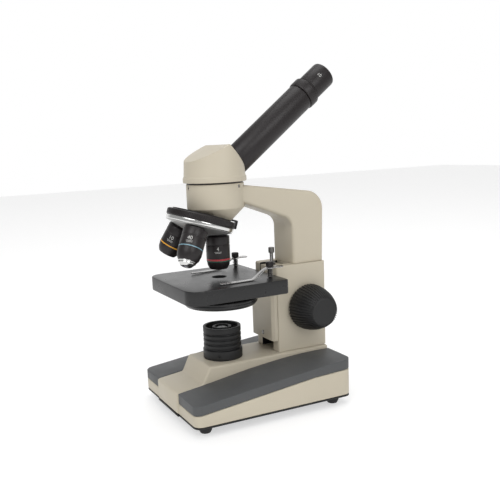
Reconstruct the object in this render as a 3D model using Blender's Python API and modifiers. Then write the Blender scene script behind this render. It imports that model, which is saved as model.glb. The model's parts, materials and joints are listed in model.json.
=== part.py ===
"""Upright monocular microscope with a rack-driven stage, a triple nosepiece and an inclined tube.

Lengths are in millimetres and the helpers turn them into Blender's metres. X points to the right
of the user, Y to the arm, Z up. Inside the model Y = 0 is the optical axis. The empty named
optical_axis then shifts everything, so that the middle of the whole object's box is at the origin.
"""
import math

import bmesh
import bpy
from mathutils import Matrix, Vector

MM = 0.001
GAP = 0.3
ROUND = 32
LARGE_ROUND = 40
SMALL_ROUND = 16
SLIVER = 0.02

# base
FOOT_HEIGHT = 8.0
FOOT_RADIUS = 6.5
PLATE = 1.6
BASE_HALF = 67.4
BASE_FRONT = -61.0
BASE_BACK = 108.5
BASE_CORNER = 8.0
WALL = 2.6
COVER_WALL = 2.4
SPINE_HALF = 26.3
SPINE_TOP = 50.5
NOSE_FRONT = -62.5
NOSE_TOP = 31.0
SLOPE_FOOT = (-35.0, 34.4)
SLOPE_HEAD = (-27.0, SPINE_TOP)

# what the base holds
DECK = FOOT_HEIGHT + PLATE + GAP
FOOT_X = 55.0
FOOT_ROWS = {"front": -47.0, "rear": 93.0}
INLET = ((16.5, 14.5), (43.5, 31.5))
SWITCH = ((-37.5, 16.5), (-22.5, 28.5))
FITTING_WALL = 1.5
SWITCH_TILT = math.radians(7.0)

# illuminator
LAMP_TUBE_TOP = 82.7
LAMP_TUBE_RADIUS = (19.7, 18.8)
LAMP_TUBE_BORE = 13.5

# arm
PILLAR_HALF = 22.5
PILLAR_FRONT = 52.0
ARM_BACK = 108.8
CHANNEL_HALF = 11.6
CHANNEL_BACK = 100.0
CHANNEL_TOP = 133.0
BOLT_RADIUS = 4.0
BOLT_Y = 90.0
ARM_JOINT = 138.5
ARM_HALF = 19.8
ARM_FRONT = 73.4
LIGHT_BORE = 9.0
BOSS_RADIUS = 27.9
BOSS_LOW = 200.2
SEAM = 223.4
LOCK_SCREW = 1.6

# stage
STAGE_TOP = 131.8
STAGE_THICK = 13.6
STAGE_HALF = 55.0
STAGE_FRONT = -54.9
STAGE_BACK = 47.2
APERTURE = 7.0
BRACKET_FRONT = 45.7
BRACKET_HALF = 22.2
BRACKET_FACE_HALF = 19.7
BRACKET_LOW = 62.8
TONGUE_HALF = 11.2
TONGUE_BACK = 75.9
STAGE_SCREW = (12.88, 36.0)
CLIP_POST = (36.8, 36.5)
CLIP_TURN = {"right": 4.4, "left": 9.5}
STOP_SCREW_Y = 59.5
DISC_PIVOT = (18.2, -8.4)
DISC_RADIUS = 35.7

# focus drive
FOCUS_AXIS = (87.0, 94.0)
MODULE = 0.8
PINION_TEETH = 18
PITCH_RADIUS = MODULE * PINION_TEETH / 2
GEAR_HALF = 5.0
SHAFT_RADIUS = 3.0
KNOB_INNER = 23.4
KNOB_OUTER = 54.0

# nosepiece, its axis leaning forward
TURRET_CENTRE = (-17.4, 187.9)
TURRET_TILT = math.radians(18.0)
TURRET_RADIUS = 33.5
CONE_RIM = (32.4, -4.4)
OBJECTIVE_RADIUS = 11.7
OBJECTIVES = {"4x": (90.0, 33.4), "40x": (-30.0, 37.5), "10x": (210.0, 30.9)}

# head and eyepiece tube
HEAD_RADIUS = 29.6
HEAD_FLANGE = 30.6
HEAD_TOP_RADIUS = 27.6
HEAD_FRONT_TOP = 244.3
HEAD_REAR_FALL = math.radians(46)
RIDGE = (4.7, 259.6)
TUBE_RISE = math.radians(38.2)
TUBE_CROSSING = 224.9
TUBE_RADIUS = 14.0
TUBE_BORE = 11.65
TUBE_START = 22.0
COLLAR = (125.5, 135.3)
EYEPIECE_END = 161.5
EYEPIECE_RADIUS = 13.1

# the middle of the whole object's depth, from the nose to the eyepiece's rim
REACH = EYEPIECE_END * math.cos(TUBE_RISE) + (EYEPIECE_RADIUS - 1.2) * math.sin(TUBE_RISE)
OPTIC_Y = -(REACH + NOSE_FRONT) / 2

CREAM = ("cream_paint", (0.58, 0.53, 0.43), 0.42, 0.0)
GREY = ("grey_plastic", (0.09, 0.095, 0.10), 0.5, 0.0)
BLACK = ("black_plastic", (0.02, 0.02, 0.021), 0.5, 0.0)
STAGE_BLACK = ("black_enamel", (0.03, 0.03, 0.03), 0.2, 0.0)
CHROME = ("chrome_plate", (0.8, 0.8, 0.8), 0.12, 1.0)
STEEL = ("steel", (0.5, 0.5, 0.5), 0.3, 1.0)
BRASS = ("brass", (0.6, 0.42, 0.16), 0.3, 1.0)
RUBBER = ("rubber", (0.015, 0.015, 0.015), 0.8, 0.0)
GLASS = ("glass", (0.85, 0.9, 0.9), 0.05, 0.0)
BOARD = ("circuit_board", (0.02, 0.12, 0.04), 0.5, 0.0)


def clear_scene():
    for item in list(bpy.data.objects):
        bpy.data.objects.remove(item, do_unlink=True)


def new_collection(name):
    group = bpy.data.collections.new(name)
    bpy.context.scene.collection.children.link(group)
    return group


def material(look):
    name, colour, roughness, metallic = look
    found = bpy.data.materials.get(name)
    if found:
        return found
    made = bpy.data.materials.new(name)
    made.use_nodes = True
    shader = made.node_tree.nodes["Principled BSDF"]
    shader.inputs["Base Color"].default_value = (*colour, 1.0)
    shader.inputs["Roughness"].default_value = roughness
    shader.inputs["Metallic"].default_value = metallic
    return made


def empty(name, location, rotation=(0, 0, 0), parent=None):
    item = bpy.data.objects.new(name, None)
    PARTS.objects.link(item)
    item.location = Vector(location) * MM
    item.rotation_euler = rotation
    item.parent = parent
    return item


def piece(name, mesh, look, parent):
    """Link a mesh as a finished part, or as a hidden cutter when it has no look."""
    item = bpy.data.objects.new(name, mesh)
    item.parent = parent
    if look is None:
        CUTTERS.objects.link(item)
        item.hide_render = True
        item.display_type = "WIRE"
    else:
        PARTS.objects.link(item)
        mesh.materials.append(material(look))
        mesh.shade_smooth()
        mesh.set_sharp_from_angle(angle=math.radians(35))
    return item


def box(name, low, high, look, parent):
    low, high = Vector(low) * MM, Vector(high) * MM
    form = bmesh.new()
    bmesh.ops.create_cube(form, size=1.0)
    bmesh.ops.scale(form, vec=high - low, verts=form.verts)
    bmesh.ops.translate(form, vec=(low + high) / 2, verts=form.verts)
    mesh = bpy.data.meshes.new(name)
    form.to_mesh(mesh)
    form.free()
    return piece(name, mesh, look, parent)


def rod(name, radius, start, end, look, parent, along="Z", centre=(0, 0), segments=SMALL_ROUND):
    """A cylinder from start to end along an axis."""
    form = bmesh.new()
    bmesh.ops.create_cone(form, cap_ends=True, segments=segments, radius1=radius * MM,
                          radius2=radius * MM, depth=(end - start) * MM)
    turn, spot = axis_turn(along), [*centre]
    spot.insert("XYZ".index(along), (start + end) / 2)
    bmesh.ops.transform(form, matrix=Matrix.Translation(Vector(spot) * MM) @ turn, verts=form.verts)
    mesh = bpy.data.meshes.new(name)
    form.to_mesh(mesh)
    form.free()
    return piece(name, mesh, look, parent)


def axis_turn(along):
    """Turn a shape drawn in its own XY plane so that its Z runs along the named axis."""
    if along == "X":
        return Matrix.Rotation(math.pi / 2, 4, "Z") @ Matrix.Rotation(math.pi / 2, 4, "X")
    if along == "Y":
        return Matrix.Rotation(math.pi / 2, 4, "X")
    return Matrix.Identity(4)


def extruded(name, outline, start, end, along, look, parent):
    """A flat outline, in the two axes other than along, with a thickness from start to end."""
    curve = bpy.data.curves.new(name + "_outline", "CURVE")
    curve.dimensions = "2D"
    curve.fill_mode = "BOTH"
    curve.extrude = (end - start) / 2 * MM
    spline = curve.splines.new("POLY")
    spline.points.add(len(outline) - 1)
    for point, (u, v) in zip(spline.points, outline):
        point.co = (u * MM, v * MM, 0, 1)
    spline.use_cyclic_u = True
    drawn = bpy.data.objects.new(name + "_outline", curve)
    bpy.context.scene.collection.objects.link(drawn)
    mesh = welded_mesh(drawn)
    middle = Vector([(start + end) / 2 * MM if axis == along else 0 for axis in "XYZ"])
    mesh.transform(Matrix.Translation(middle) @ axis_turn(along))
    return piece(name, mesh, look, parent)


def welded_mesh(drawn):
    """Turn a curve object into a closed mesh and remove the curve."""
    bpy.context.view_layer.update()
    graph = bpy.context.evaluated_depsgraph_get()
    mesh = bpy.data.meshes.new_from_object(drawn.evaluated_get(graph))
    bpy.data.objects.remove(drawn, do_unlink=True)
    form = bmesh.new()
    form.from_mesh(mesh)
    bmesh.ops.remove_doubles(form, verts=form.verts, dist=0.00001)
    bmesh.ops.recalc_face_normals(form, faces=form.faces)
    form.to_mesh(mesh)
    form.free()
    mesh.materials.clear()
    return mesh


def turned(name, profile, look, parent, segments=ROUND, closed=False):
    """A profile of (radius, height) points, outer side first from top to bottom, turned about Z."""
    mesh = bpy.data.meshes.new(name)
    points = [(radius * MM, 0, height * MM) for radius, height in profile]
    edges = [(i, i + 1) for i in range(len(points) - 1)]
    if closed:
        edges.append((len(points) - 1, 0))
    mesh.from_pydata(points, edges, [])
    item = piece(name, mesh, look, parent)
    screw = item.modifiers.new("turn", "SCREW")
    screw.axis = "Z"
    screw.steps = segments
    screw.render_steps = segments
    screw.use_merge_vertices = True
    screw.merge_threshold = 0.00001
    screw.use_smooth_shade = look is not None
    return item


def wire(name, points, radius, look, parent, sides=2):
    """A round wire through the points, with filled ends."""
    curve = bpy.data.curves.new(name, "CURVE")
    curve.dimensions = "3D"
    curve.bevel_depth = radius * MM
    curve.bevel_resolution = sides
    curve.use_fill_caps = True
    spline = curve.splines.new("POLY")
    spline.points.add(len(points) - 1)
    for point, spot in zip(spline.points, points):
        point.co = (*(Vector(spot) * MM), 1)
    drawn = bpy.data.objects.new(name + "_path", curve)
    bpy.context.scene.collection.objects.link(drawn)
    return piece(name, welded_mesh(drawn), look, parent)


def combine(target, other, operation="DIFFERENCE"):
    change = target.modifiers.new(other.name, "BOOLEAN")
    change.operation = operation
    change.object = other
    change.solver = "EXACT"


def arc(centre, radius, first, last, steps):
    """Points on a circle between two angles in degrees."""
    turns = [math.radians(first + (last - first) * i / steps) for i in range(steps + 1)]
    return [(centre[0] + radius * math.cos(t), centre[1] + radius * math.sin(t)) for t in turns]


def rounded_rectangle(low, high, corners, steps=5):
    """Corner radii are listed from the low corner anticlockwise."""
    spots = [(low[0], low[1], 180), (high[0], low[1], 270),
             (high[0], high[1], 0), (low[0], high[1], 90)]
    outline = []
    for (x, y, first), radius in zip(spots, corners):
        centre = (x + math.copysign(radius, low[0] + high[0] - 2 * x),
                  y + math.copysign(radius, low[1] + high[1] - 2 * y))
        outline += arc(centre, radius, first, first + 90, steps)
    return outline


def loft(name, sections, look, parent):
    """Skin a row of sections that have the same number of points, and close both ends."""
    mesh = bpy.data.meshes.new(name)
    count = len(sections[0])
    points = [Vector(spot) * MM for section in sections for spot in section]
    faces = [tuple(range(count)), tuple(range(len(points) - count, len(points)))]
    for row in range(len(sections) - 1):
        for i in range(count):
            a, b = row * count + i, row * count + (i + 1) % count
            faces.append((a, b, b + count, a + count))
    form = bmesh.new()
    mesh.from_pydata(points, [], faces)
    form.from_mesh(mesh)
    bmesh.ops.recalc_face_normals(form, faces=form.faces)
    form.to_mesh(mesh)
    form.free()
    return piece(name, mesh, look, parent)


def between(y, knots):
    """Height at y on a line of (y, height) knots, which runs on past both ends."""
    pairs = list(zip(knots, knots[1:]))
    (y0, z0), (y1, z1) = next((pair for pair in pairs if y <= pair[1][0]), pairs[-1])
    return z0 + (z1 - z0) * (y - y0) / (y1 - y0)


LEDGE = [(BASE_FRONT, 20.4), (66.0, 34.3), (BASE_BACK, 36.0)]
CREASE = [(BASE_FRONT, 29.6), (-5.0, 36.0), (49.0, 41.3), (BASE_BACK, 46.6)]
COVER_INNER = [(BASE_FRONT, 31.0), (-34.0, 34.5), (16.0, 42.1), (56.0, 46.2), (80.0, 47.4),
               (BASE_BACK, 47.0)]
COVER_STATIONS = (-34.0, -5.0, 16.0, 49.0, 66.0, 80.0)


def base_outline():
    return rounded_rectangle((-BASE_HALF, BASE_FRONT), (BASE_HALF, BASE_BACK), (BASE_CORNER,) * 4)


def base_column(name, low):
    """A column with the plan of the base, which trims what stands on it."""
    return extruded(name, base_outline(), low, SPINE_TOP + 20, "Z", None, FRAME)


def spine_outline(inset, low):
    """Side view of the centre ridge, with its low nose and slope."""
    front, back, top = NOSE_FRONT + inset, BASE_BACK - inset * 1.3 - SLIVER, SPINE_TOP - inset
    return [(front, low), (back, low), (back, top), (SLOPE_HEAD[0] + inset, top),
            (SLOPE_FOOT[0] + inset, SLOPE_FOOT[1] - inset), (front, NOSE_TOP - inset)]


def shoulder_outline(inset, low, beyond):
    """Side view of the side walls. beyond lets it run past the plan's front and back."""
    front, back = BASE_FRONT + inset - beyond, BASE_BACK - inset + beyond
    middle, height = LEDGE[1]
    return [(front, low), (back, low), (back, between(back, LEDGE) - inset),
            (middle, height - inset), (front, between(front, LEDGE) - inset)]


def opening(fitting, grow, depth):
    """The box that a rear fitting fills, grown all round, from depth inside the back wall."""
    (left, low), (right, high) = fitting
    return (left - grow, BASE_BACK - depth, low - grow), (right + grow, BASE_BACK + 12, high + grow)


def make_base():
    reach = BASE_HALF + 4
    sides = shoulder_outline(0, DECK - 4, 5)
    housing = extruded("base_housing", sides, -reach, reach, "X", CREAM, FRAME)
    combine(housing, base_column("base_column", DECK), "INTERSECT")
    ridge = spine_outline(0, DECK + SLIVER)
    combine(housing, extruded("spine_block", ridge, -SPINE_HALF, SPINE_HALF, "X", None, FRAME), "UNION")
    hollows = {"shoulder_hollow": (shoulder_outline(WALL, 0, 0), BASE_HALF - WALL - 1.0),
               "spine_hollow": (spine_outline(WALL, -2), SPINE_HALF - WALL)}
    for name, (outline, half) in hollows.items():
        combine(housing, extruded(name, outline, -half, half, "X", None, FRAME))
    combine(housing, rod("lamp_hole", LAMP_TUBE_BORE, SPINE_TOP - 10, SPINE_TOP + 10, None, FRAME))
    combine(housing, box("inlet_hole", *opening(INLET, GAP, 8), None, FRAME))
    combine(housing, box("switch_hole", *opening(SWITCH, GAP, 8), None, FRAME))


def cover_section(y, side, inset):
    ledge = between(y, LEDGE) + GAP - 2 * inset
    inner, outer = SPINE_HALF + GAP + inset, BASE_HALF - inset
    crease, top = between(y, CREASE) - inset, between(y, COVER_INNER) - inset
    corners = [(inner, ledge), (outer, ledge), (outer, crease), (inner, top)]
    return [(side * x, y, z) for x, z in corners]


def make_side_covers():
    guide = base_column("cover_column", 0.0)
    outer = [BASE_FRONT - 3, *COVER_STATIONS, BASE_BACK + 3]
    inner = [BASE_FRONT + COVER_WALL, *COVER_STATIONS, BASE_BACK - COVER_WALL]
    for name, side in (("left", -1), ("right", 1)):
        skin = loft(f"side_cover_{name}", [cover_section(y, side, 0) for y in outer], GREY, FRAME)
        combine(skin, guide, "INTERSECT")
        hollow = [cover_section(y, side, COVER_WALL) for y in inner]
        combine(skin, loft(f"cover_hollow_{name}", hollow, None, FRAME))


def make_base_fittings():
    top = FOOT_HEIGHT + PLATE
    plate = extruded("bottom_plate", base_outline(), FOOT_HEIGHT, top, "Z", BLACK, FRAME)
    low, high = (-SPINE_HALF, NOSE_FRONT, FOOT_HEIGHT), (SPINE_HALF, 0, top)
    combine(plate, box("nose_plate", low, high, None, FRAME), "UNION")
    foot = [(0, -GAP), (FOOT_RADIUS, -GAP), (FOOT_RADIUS, -4.5),
            (FOOT_RADIUS - 1.8, -FOOT_HEIGHT), (0, -FOOT_HEIGHT)]
    for end, y in FOOT_ROWS.items():
        for side, x in (("left", -FOOT_X), ("right", FOOT_X)):
            pad = turned(f"foot_{end}_{side}", foot, RUBBER, FRAME, segments=20)
            pad.location = Vector((x, y, FOOT_HEIGHT)) * MM


def make_electrics():
    board = box("power_board", (-45, 30, DECK), (5, 85, DECK + 1.6), BOARD, FRAME)
    transformer = box("transformer", (-40, 50, DECK + 1), (-12, 80, DECK + 18), None, FRAME)
    combine(board, transformer, "UNION")
    combine(board, rod("capacitor", 5, DECK + 1, DECK + 14, None, FRAME, centre=(-5, 60)), "UNION")
    holder = 26.0
    socket = [(0, holder), (8, holder), (8, 16), (11, 16), (11, DECK), (0, DECK)]
    turned("lamp_socket", socket, BLACK, FRAME, segments=20)
    bulb = [(0, 44), *arc((0, 38), 6, 64, -40, 4), (3.5, 30), (3.5, holder + GAP), (0, holder + GAP)]
    turned("lamp_bulb", bulb, GLASS, FRAME, segments=20)


def rear_fitting(name, place, depth, rim, look):
    """A moulded block in the back wall, with a flange outside and an open recess."""
    (left, low), (right, high) = place
    face = BASE_BACK + GAP
    block = box(name, (left, BASE_BACK - depth, low), (right, face, high), look, FRAME)
    flange = box(f"{name}_flange", (left - rim, face, low - rim), (right + rim, BASE_BACK + 2, high + rim),
                 None, FRAME)
    combine(block, flange, "UNION")
    combine(block, box(f"{name}_recess", *opening(place, -FITTING_WALL, depth - 4), None, FRAME))


def make_rear_fittings():
    rear_fitting("power_inlet", INLET, 16.5, 2.0, BLACK)
    rear_fitting("switch_bezel", SWITCH, 12.5, 2.0, BLACK)
    (left, low), (right, high) = SWITCH
    place = ((left + right) / 2, BASE_BACK - 2, (low + high) / 2)
    hinge = empty("switch_axis", place, (-SWITCH_TILT, 0, 0), FRAME)
    rocker = arc((-3.5, 0), 7.6, -31, 31, 6) + [(-1.5, 3.2), (-1.5, -3.2)]
    extruded("power_switch", rocker, -5.0, 5.0, "X", BLACK, hinge)


def make_illuminator():
    low, high = LAMP_TUBE_RADIUS
    bottom, top = SPINE_TOP + GAP, LAMP_TUBE_TOP
    tube = [(high - 1, top), (high, top - 1), (low, bottom + 4), (low, bottom), (LAMP_TUBE_BORE, bottom),
            (LAMP_TUBE_BORE, top - 8), (10.0, top - 8), (10.0, top - 5), (15.5, top - 5), (16.0, top)]
    shell = turned("illuminator_housing", tube, BLACK, FRAME, closed=True)
    hole = rod("set_screw_hole", 1.5, 10, 30, None, FRAME, along="X", centre=(0, bottom + 5), segments=12)
    combine(shell, hole)
    seat = top - 5 + GAP
    lens = [(0, seat + 3.4), (5, seat + 3.0), (9.5, seat + 1.6), (12.5, seat), (0, seat)]
    turned("illuminator_lens", lens, GLASS, FRAME, segments=ROUND)


def make_pillar():
    foot = SPINE_TOP + GAP
    outline = [(PILLAR_FRONT, foot), (ARM_BACK, foot), (ARM_BACK, ARM_JOINT),
               *arc((PILLAR_FRONT + 1.5, ARM_JOINT - 1.5), 1.5, 90, 180, 4)]
    pillar = extruded("pillar", outline, -PILLAR_HALF, PILLAR_HALF, "X", CREAM, FRAME)
    open_front, open_top = PILLAR_FRONT - 12, ARM_JOINT + 12
    channel = [(open_front, foot - 10), (CHANNEL_BACK, foot - 10), (CHANNEL_BACK, CHANNEL_TOP),
               (ARM_FRONT - 1, CHANNEL_TOP), (ARM_FRONT - 1, open_top), (open_front, open_top)]
    combine(pillar, extruded("slide_channel", channel, -CHANNEL_HALF, CHANNEL_HALF, "X", None, FRAME))
    y, z = FOCUS_AXIS
    shaft = rod("shaft_bore", SHAFT_RADIUS + GAP, -30, 30, None, FRAME, along="X", centre=(y, z))
    combine(pillar, shaft)
    combine(pillar, rod("bolt_bore", BOLT_RADIUS + GAP, 120, 145, None, FRAME, centre=(0, BOLT_Y)))
    seat, end = CHANNEL_TOP - GAP, ARM_JOINT + 19.5
    bolt = [(0, end), (BOLT_RADIUS, end), (BOLT_RADIUS, seat), (7, seat), (7, seat - 5.7), (0, seat - 5.7)]
    screw = turned("arm_bolt", bolt, STEEL, FRAME, segments=SMALL_ROUND)
    screw.location = Vector((0, BOLT_Y, 0)) * MM


def upper_arm_outline():
    """Side view: foot on the pillar, inner curve, underside, top slope and rear corner."""
    inner = arc((ARM_FRONT - 13.0, 174.5), 13.0, 0, 68, 6)
    crown = arc((ARM_BACK + 1.5 - 19.0, 191.6), 19.0, 81, 0, 8)
    return [(ARM_BACK, ARM_JOINT + GAP), (ARM_FRONT, ARM_JOINT + GAP), *inner, (20.0, 204.0), (0.0, 204.0),
            (0.0, SEAM - 1.5), (23.4, 220.6), *crown]


def make_upper_arm():
    arm = extruded("upper_arm", upper_arm_outline(), -ARM_HALF, ARM_HALF, "X", CREAM, FRAME)
    taper = 16.0
    boss = [(0, SEAM), (BOSS_RADIUS, SEAM), (BOSS_RADIUS, BOSS_LOW), (BOSS_RADIUS - taper, BOSS_LOW - taper),
            (0, BOSS_LOW - taper)]
    combine(arm, turned("boss", boss, None, FRAME), "UNION")
    combine(arm, box("nosepiece_plane", (-60, -80, -60), (60, 80, 7.9), None, TURRET))
    bore = [(0, SEAM + 5), (21.0, SEAM + 5), (21.0, SEAM - 6), (16.5, SEAM - 6), (16.5, SEAM - 12),
            (LIGHT_BORE, SEAM - 12), (LIGHT_BORE, 150), (0, 150)]
    combine(arm, turned("light_bore", bore, None, FRAME, segments=27))
    for i in range(3):
        turn = math.radians(-90 + 120 * i)
        spin = empty(f"lock_screw_axis_{i + 1}", (0, 0, SEAM - 3.0), (0, math.pi / 2, turn), FRAME)
        bore = rod(f"lock_screw_bore_{i + 1}", LOCK_SCREW + GAP, 15, 40, None, spin, segments=12)
        combine(arm, bore)
        rod(f"head_lock_screw_{i + 1}", LOCK_SCREW, 21.5, BOSS_RADIUS - 0.6, STEEL, spin, segments=12)
    combine(arm, rod("bolt_thread", BOLT_RADIUS + GAP, 130, 160, None, FRAME, centre=(0, BOLT_Y)))


def make_stage_plate():
    outline = rounded_rectangle((-STAGE_HALF, STAGE_FRONT), (STAGE_HALF, STAGE_BACK), (14, 14, 3, 3))
    plate = extruded("stage_plate", outline, -STAGE_THICK, 0, "Z", STAGE_BLACK, STAGE)
    combine(plate, rod("aperture", APERTURE, -20, 10, None, STAGE, segments=ROUND))
    combine(plate, rod("lens_pocket", 12.5, -20, -3, None, STAGE, segments=ROUND))
    lens = [(0, -3 - GAP), (5, -3.6), (9, -5.4), (12.2, -8.4), (12.2, -11), (0, -11)]
    turned("condenser_lens", lens, GLASS, STAGE, segments=ROUND)
    x, y = CLIP_POST
    for name, side in (("left", -1), ("right", 1)):
        post, screw = (side * x, y), (side * STAGE_SCREW[0], STAGE_SCREW[1])
        combine(plate, rod(f"post_hole_{name}", 1.9, -20, 10, None, STAGE, centre=post, segments=12))
        combine(plate, rod(f"screw_hole_{name}", 2.3, -20, -5, None, STAGE, centre=screw, segments=12))
    combine(plate, rod("pivot_hole", 2.3, -20, -5, None, STAGE, centre=DISC_PIVOT, segments=12))


def make_bracket():
    below, face = BRACKET_LOW - STAGE_TOP, -STAGE_THICK - GAP
    side, back, tongue_top = BRACKET_FRONT + 2.8, PILLAR_FRONT - GAP, 4.7
    plan = [(-BRACKET_FACE_HALF, BRACKET_FRONT), (BRACKET_FACE_HALF, BRACKET_FRONT), (BRACKET_HALF, side),
            (BRACKET_HALF, back), (-BRACKET_HALF, back), (-BRACKET_HALF, side)]
    bracket = extruded("stage_bracket", plan, below, face, "Z", CREAM, STAGE)
    front, upper = PILLAR_FRONT - 3, PILLAR_FRONT + 0.5
    tongue = [(front, below), (TONGUE_BACK, below), (TONGUE_BACK, -6.0), (70, -6.0), (70, tongue_top),
              (upper, tongue_top), (upper, face - 2), (front, face - 2)]
    block = extruded("tongue_block", tongue, -TONGUE_HALF, TONGUE_HALF, "X", None, STAGE)
    combine(bracket, block, "UNION")
    shelf = face - 6
    low, high = (-BRACKET_FACE_HALF, 29, shelf), (BRACKET_FACE_HALF, BRACKET_FRONT + 1, face)
    combine(bracket, box("shelf_block", low, high, None, STAGE), "UNION")
    thread = rod("stop_thread", 2.0 + GAP, -12, 10, None, STAGE, centre=(0, STOP_SCREW_Y), segments=12)
    combine(bracket, thread)
    head = shelf - GAP
    bolt = [(0, -7), (2, -7), (2, head), (3.5, head), (3.5, head - 2.7), (0, head - 2.7)]
    for name, side in (("left", -1), ("right", 1)):
        place = (side * STAGE_SCREW[0], STAGE_SCREW[1])
        combine(bracket, rod(f"shelf_hole_{name}", 2.3, -30, 0, None, STAGE, centre=place, segments=12))
        screw = turned(f"stage_screw_{name}", bolt, STEEL, STAGE, segments=SMALL_ROUND)
        screw.location = Vector((*place, 0)) * MM


def spring_path(radius, low, high, turns, steps):
    """Points along a coil about Z, with the given number of steps in each turn."""
    path = []
    for i in range(int(turns * steps) + 1):
        turn = 2 * math.pi * i / steps
        height = low + (high - low) * i / (turns * steps)
        path.append((radius * math.cos(turn), radius * math.sin(turn), height))
    return path


def make_clips():
    post = [(0, 15.8), (3.2, 15.8), (3.8, 15.2), (3.8, 10.6), (1.6, 10.6), (1.6, -9), (0, -9)]
    strip = [(15, 10.3), (-4, 10.3), (-21, 1.3), (-54, 1.3), (-56, 1.8), (-56, 1.0), (-54, 0.4),
             (-21.2, 0.4), (-4.2, 9.4), (15, 9.4)]
    for name, side in (("left", -1), ("right", 1)):
        x, y = side * CLIP_POST[0], CLIP_POST[1]
        pin = turned(f"clip_post_{name}", post, BLACK, STAGE, segments=SMALL_ROUND)
        coil = spring_path(2.75, 0.75, 8.75, 4.5, 8)
        spring = wire(f"clip_spring_{name}", coil, 0.4, STEEL, STAGE, sides=1)
        pin.location = spring.location = Vector((x, y, 0)) * MM
        pivot = empty(f"clip_axis_{name}", (x, y, 0), (0, 0, math.radians(CLIP_TURN[name])), STAGE)
        clip = extruded(f"stage_clip_{name}", strip, -3.0, 3.0, "X", STEEL, pivot)
        combine(clip, rod(f"clip_hole_{name}", 1.9, 0, 20, None, pivot))


def make_diaphragm():
    axis = empty("diaphragm_axis", (*DISC_PIVOT, 0), parent=STAGE)
    web, rim = -15.3, -22.2
    dish = [(2.3, web), (DISC_RADIUS - 0.8, web), (DISC_RADIUS, web - 0.8), (DISC_RADIUS, rim + 2.5),
            (DISC_RADIUS - 2, rim), (DISC_RADIUS - 3.5, rim), (DISC_RADIUS - 3.5, web - 2), (2.3, web - 2)]
    disc = turned("diaphragm_disc", dish, STAGE_BLACK, axis, segments=LARGE_ROUND, closed=True)
    reach = math.hypot(*DISC_PIVOT)
    first = math.atan2(-DISC_PIVOT[1], -DISC_PIVOT[0])
    for i, radius in enumerate((6.5, 5.2, 4.0, 3.0, 2.2, 1.4)):
        turn = first + math.radians(60 * i)
        spot = (reach * math.cos(turn), reach * math.sin(turn))
        combine(disc, rod(f"stop_{i + 1}", radius, -30, 0, None, axis, centre=spot))
    bolt = [(0, -7), (2, -7), (2, web - 2 - GAP), (5, web - 2 - GAP), (5, web - 4), (0, web - 4)]
    screw = turned("diaphragm_pivot_screw", bolt, STEEL, STAGE, segments=SMALL_ROUND)
    screw.location = Vector((*DISC_PIVOT, 0)) * MM


def make_stop_screw():
    axis = empty("stop_screw_axis", (0, STOP_SCREW_Y, 0), parent=STAGE)
    screw = [(0, 23.2), (2.6, 23.2), (3.0, 22.8), (3.0, 17.4), (1.9, 17.0), (1.9, -10), (0, -10)]
    turned("stage_stop_screw", screw, STEEL, axis, segments=SMALL_ROUND)


def involute(cosine):
    angle = math.acos(cosine)
    return math.tan(angle) - angle


def gear_outline(teeth, backlash):
    """Involute teeth with a space centred on the -Y side."""
    pitch, base = MODULE * teeth / 2, MODULE * teeth / 2 * math.cos(math.radians(20))
    root, tip = pitch - 1.25 * MODULE, pitch + 0.95 * MODULE
    half = math.pi / (2 * teeth) - backlash / (2 * pitch)

    def half_width(radius):
        return half + involute(base / pitch) - involute(min(1.0, base / radius))

    radii = [root, (base + pitch) / 2, tip]
    outline = []
    for i in range(teeth):
        centre = 2 * math.pi * i / teeth + math.pi
        for radius in radii:
            outline.append((radius, centre - half_width(radius)))
        for radius in reversed(radii):
            outline.append((radius, centre + half_width(radius)))
    return [(r * math.cos(t), r * math.sin(t)) for r, t in outline]


def rack_outline(first, last, backlash):
    """Teeth point to +Y. A tooth is centred on the pinion's height."""
    pitch_y = FOCUS_AXIS[0] - PITCH_RADIUS
    centre = FOCUS_AXIS[1] - STAGE_TOP
    step, lean = math.pi * MODULE, math.tan(math.radians(20))
    tip, root, back = 0.85 * MODULE, -1.2 * MODULE, TONGUE_BACK + GAP
    half = (step / 2 - backlash) / 2
    low, high = centre + first * step, centre + last * step
    outline = [(back, high), (back, low), (pitch_y + root, low)]
    for k in range(first, last):
        z = centre + k * step
        outline += [(pitch_y + root, z - half + lean * root), (pitch_y + tip, z - half + lean * tip),
                    (pitch_y + tip, z + half - lean * tip), (pitch_y + root, z + half - lean * root)]
    outline.append((pitch_y + root, high))
    return outline


def make_focus_drive():
    backlash, bore = 0.16, SHAFT_RADIUS + GAP
    teeth = gear_outline(PINION_TEETH, backlash)
    pinion = extruded("focus_pinion", teeth, -GEAR_HALF, GEAR_HALF, "Z", BRASS, PINION)
    combine(pinion, rod("pinion_bore", bore, -20, 20, None, PINION))
    extruded("focus_rack", rack_outline(-10, 10, backlash), -GEAR_HALF, GEAR_HALF, "X", BRASS, STAGE)
    shaft_end = 46.0
    rod("focus_shaft", SHAFT_RADIUS, -shaft_end, shaft_end, STEEL, PINION)
    knob = [(0, KNOB_OUTER), (13.2, KNOB_OUTER), (14.5, KNOB_OUTER - 0.8), (18.2, 48), (21.0, 41),
            (22.6, 34), (23.4, 28), (23.4, KNOB_INNER + 1), (22.6, KNOB_INNER), (bore, KNOB_INNER),
            (bore, shaft_end + GAP), (0, shaft_end + GAP)]
    for name, turn in (("left", math.pi), ("right", 0.0)):
        grip = turned(f"focus_knob_{name}", knob, BLACK, PINION, segments=LARGE_ROUND)
        grip.rotation_euler = (turn, 0, 0)


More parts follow.
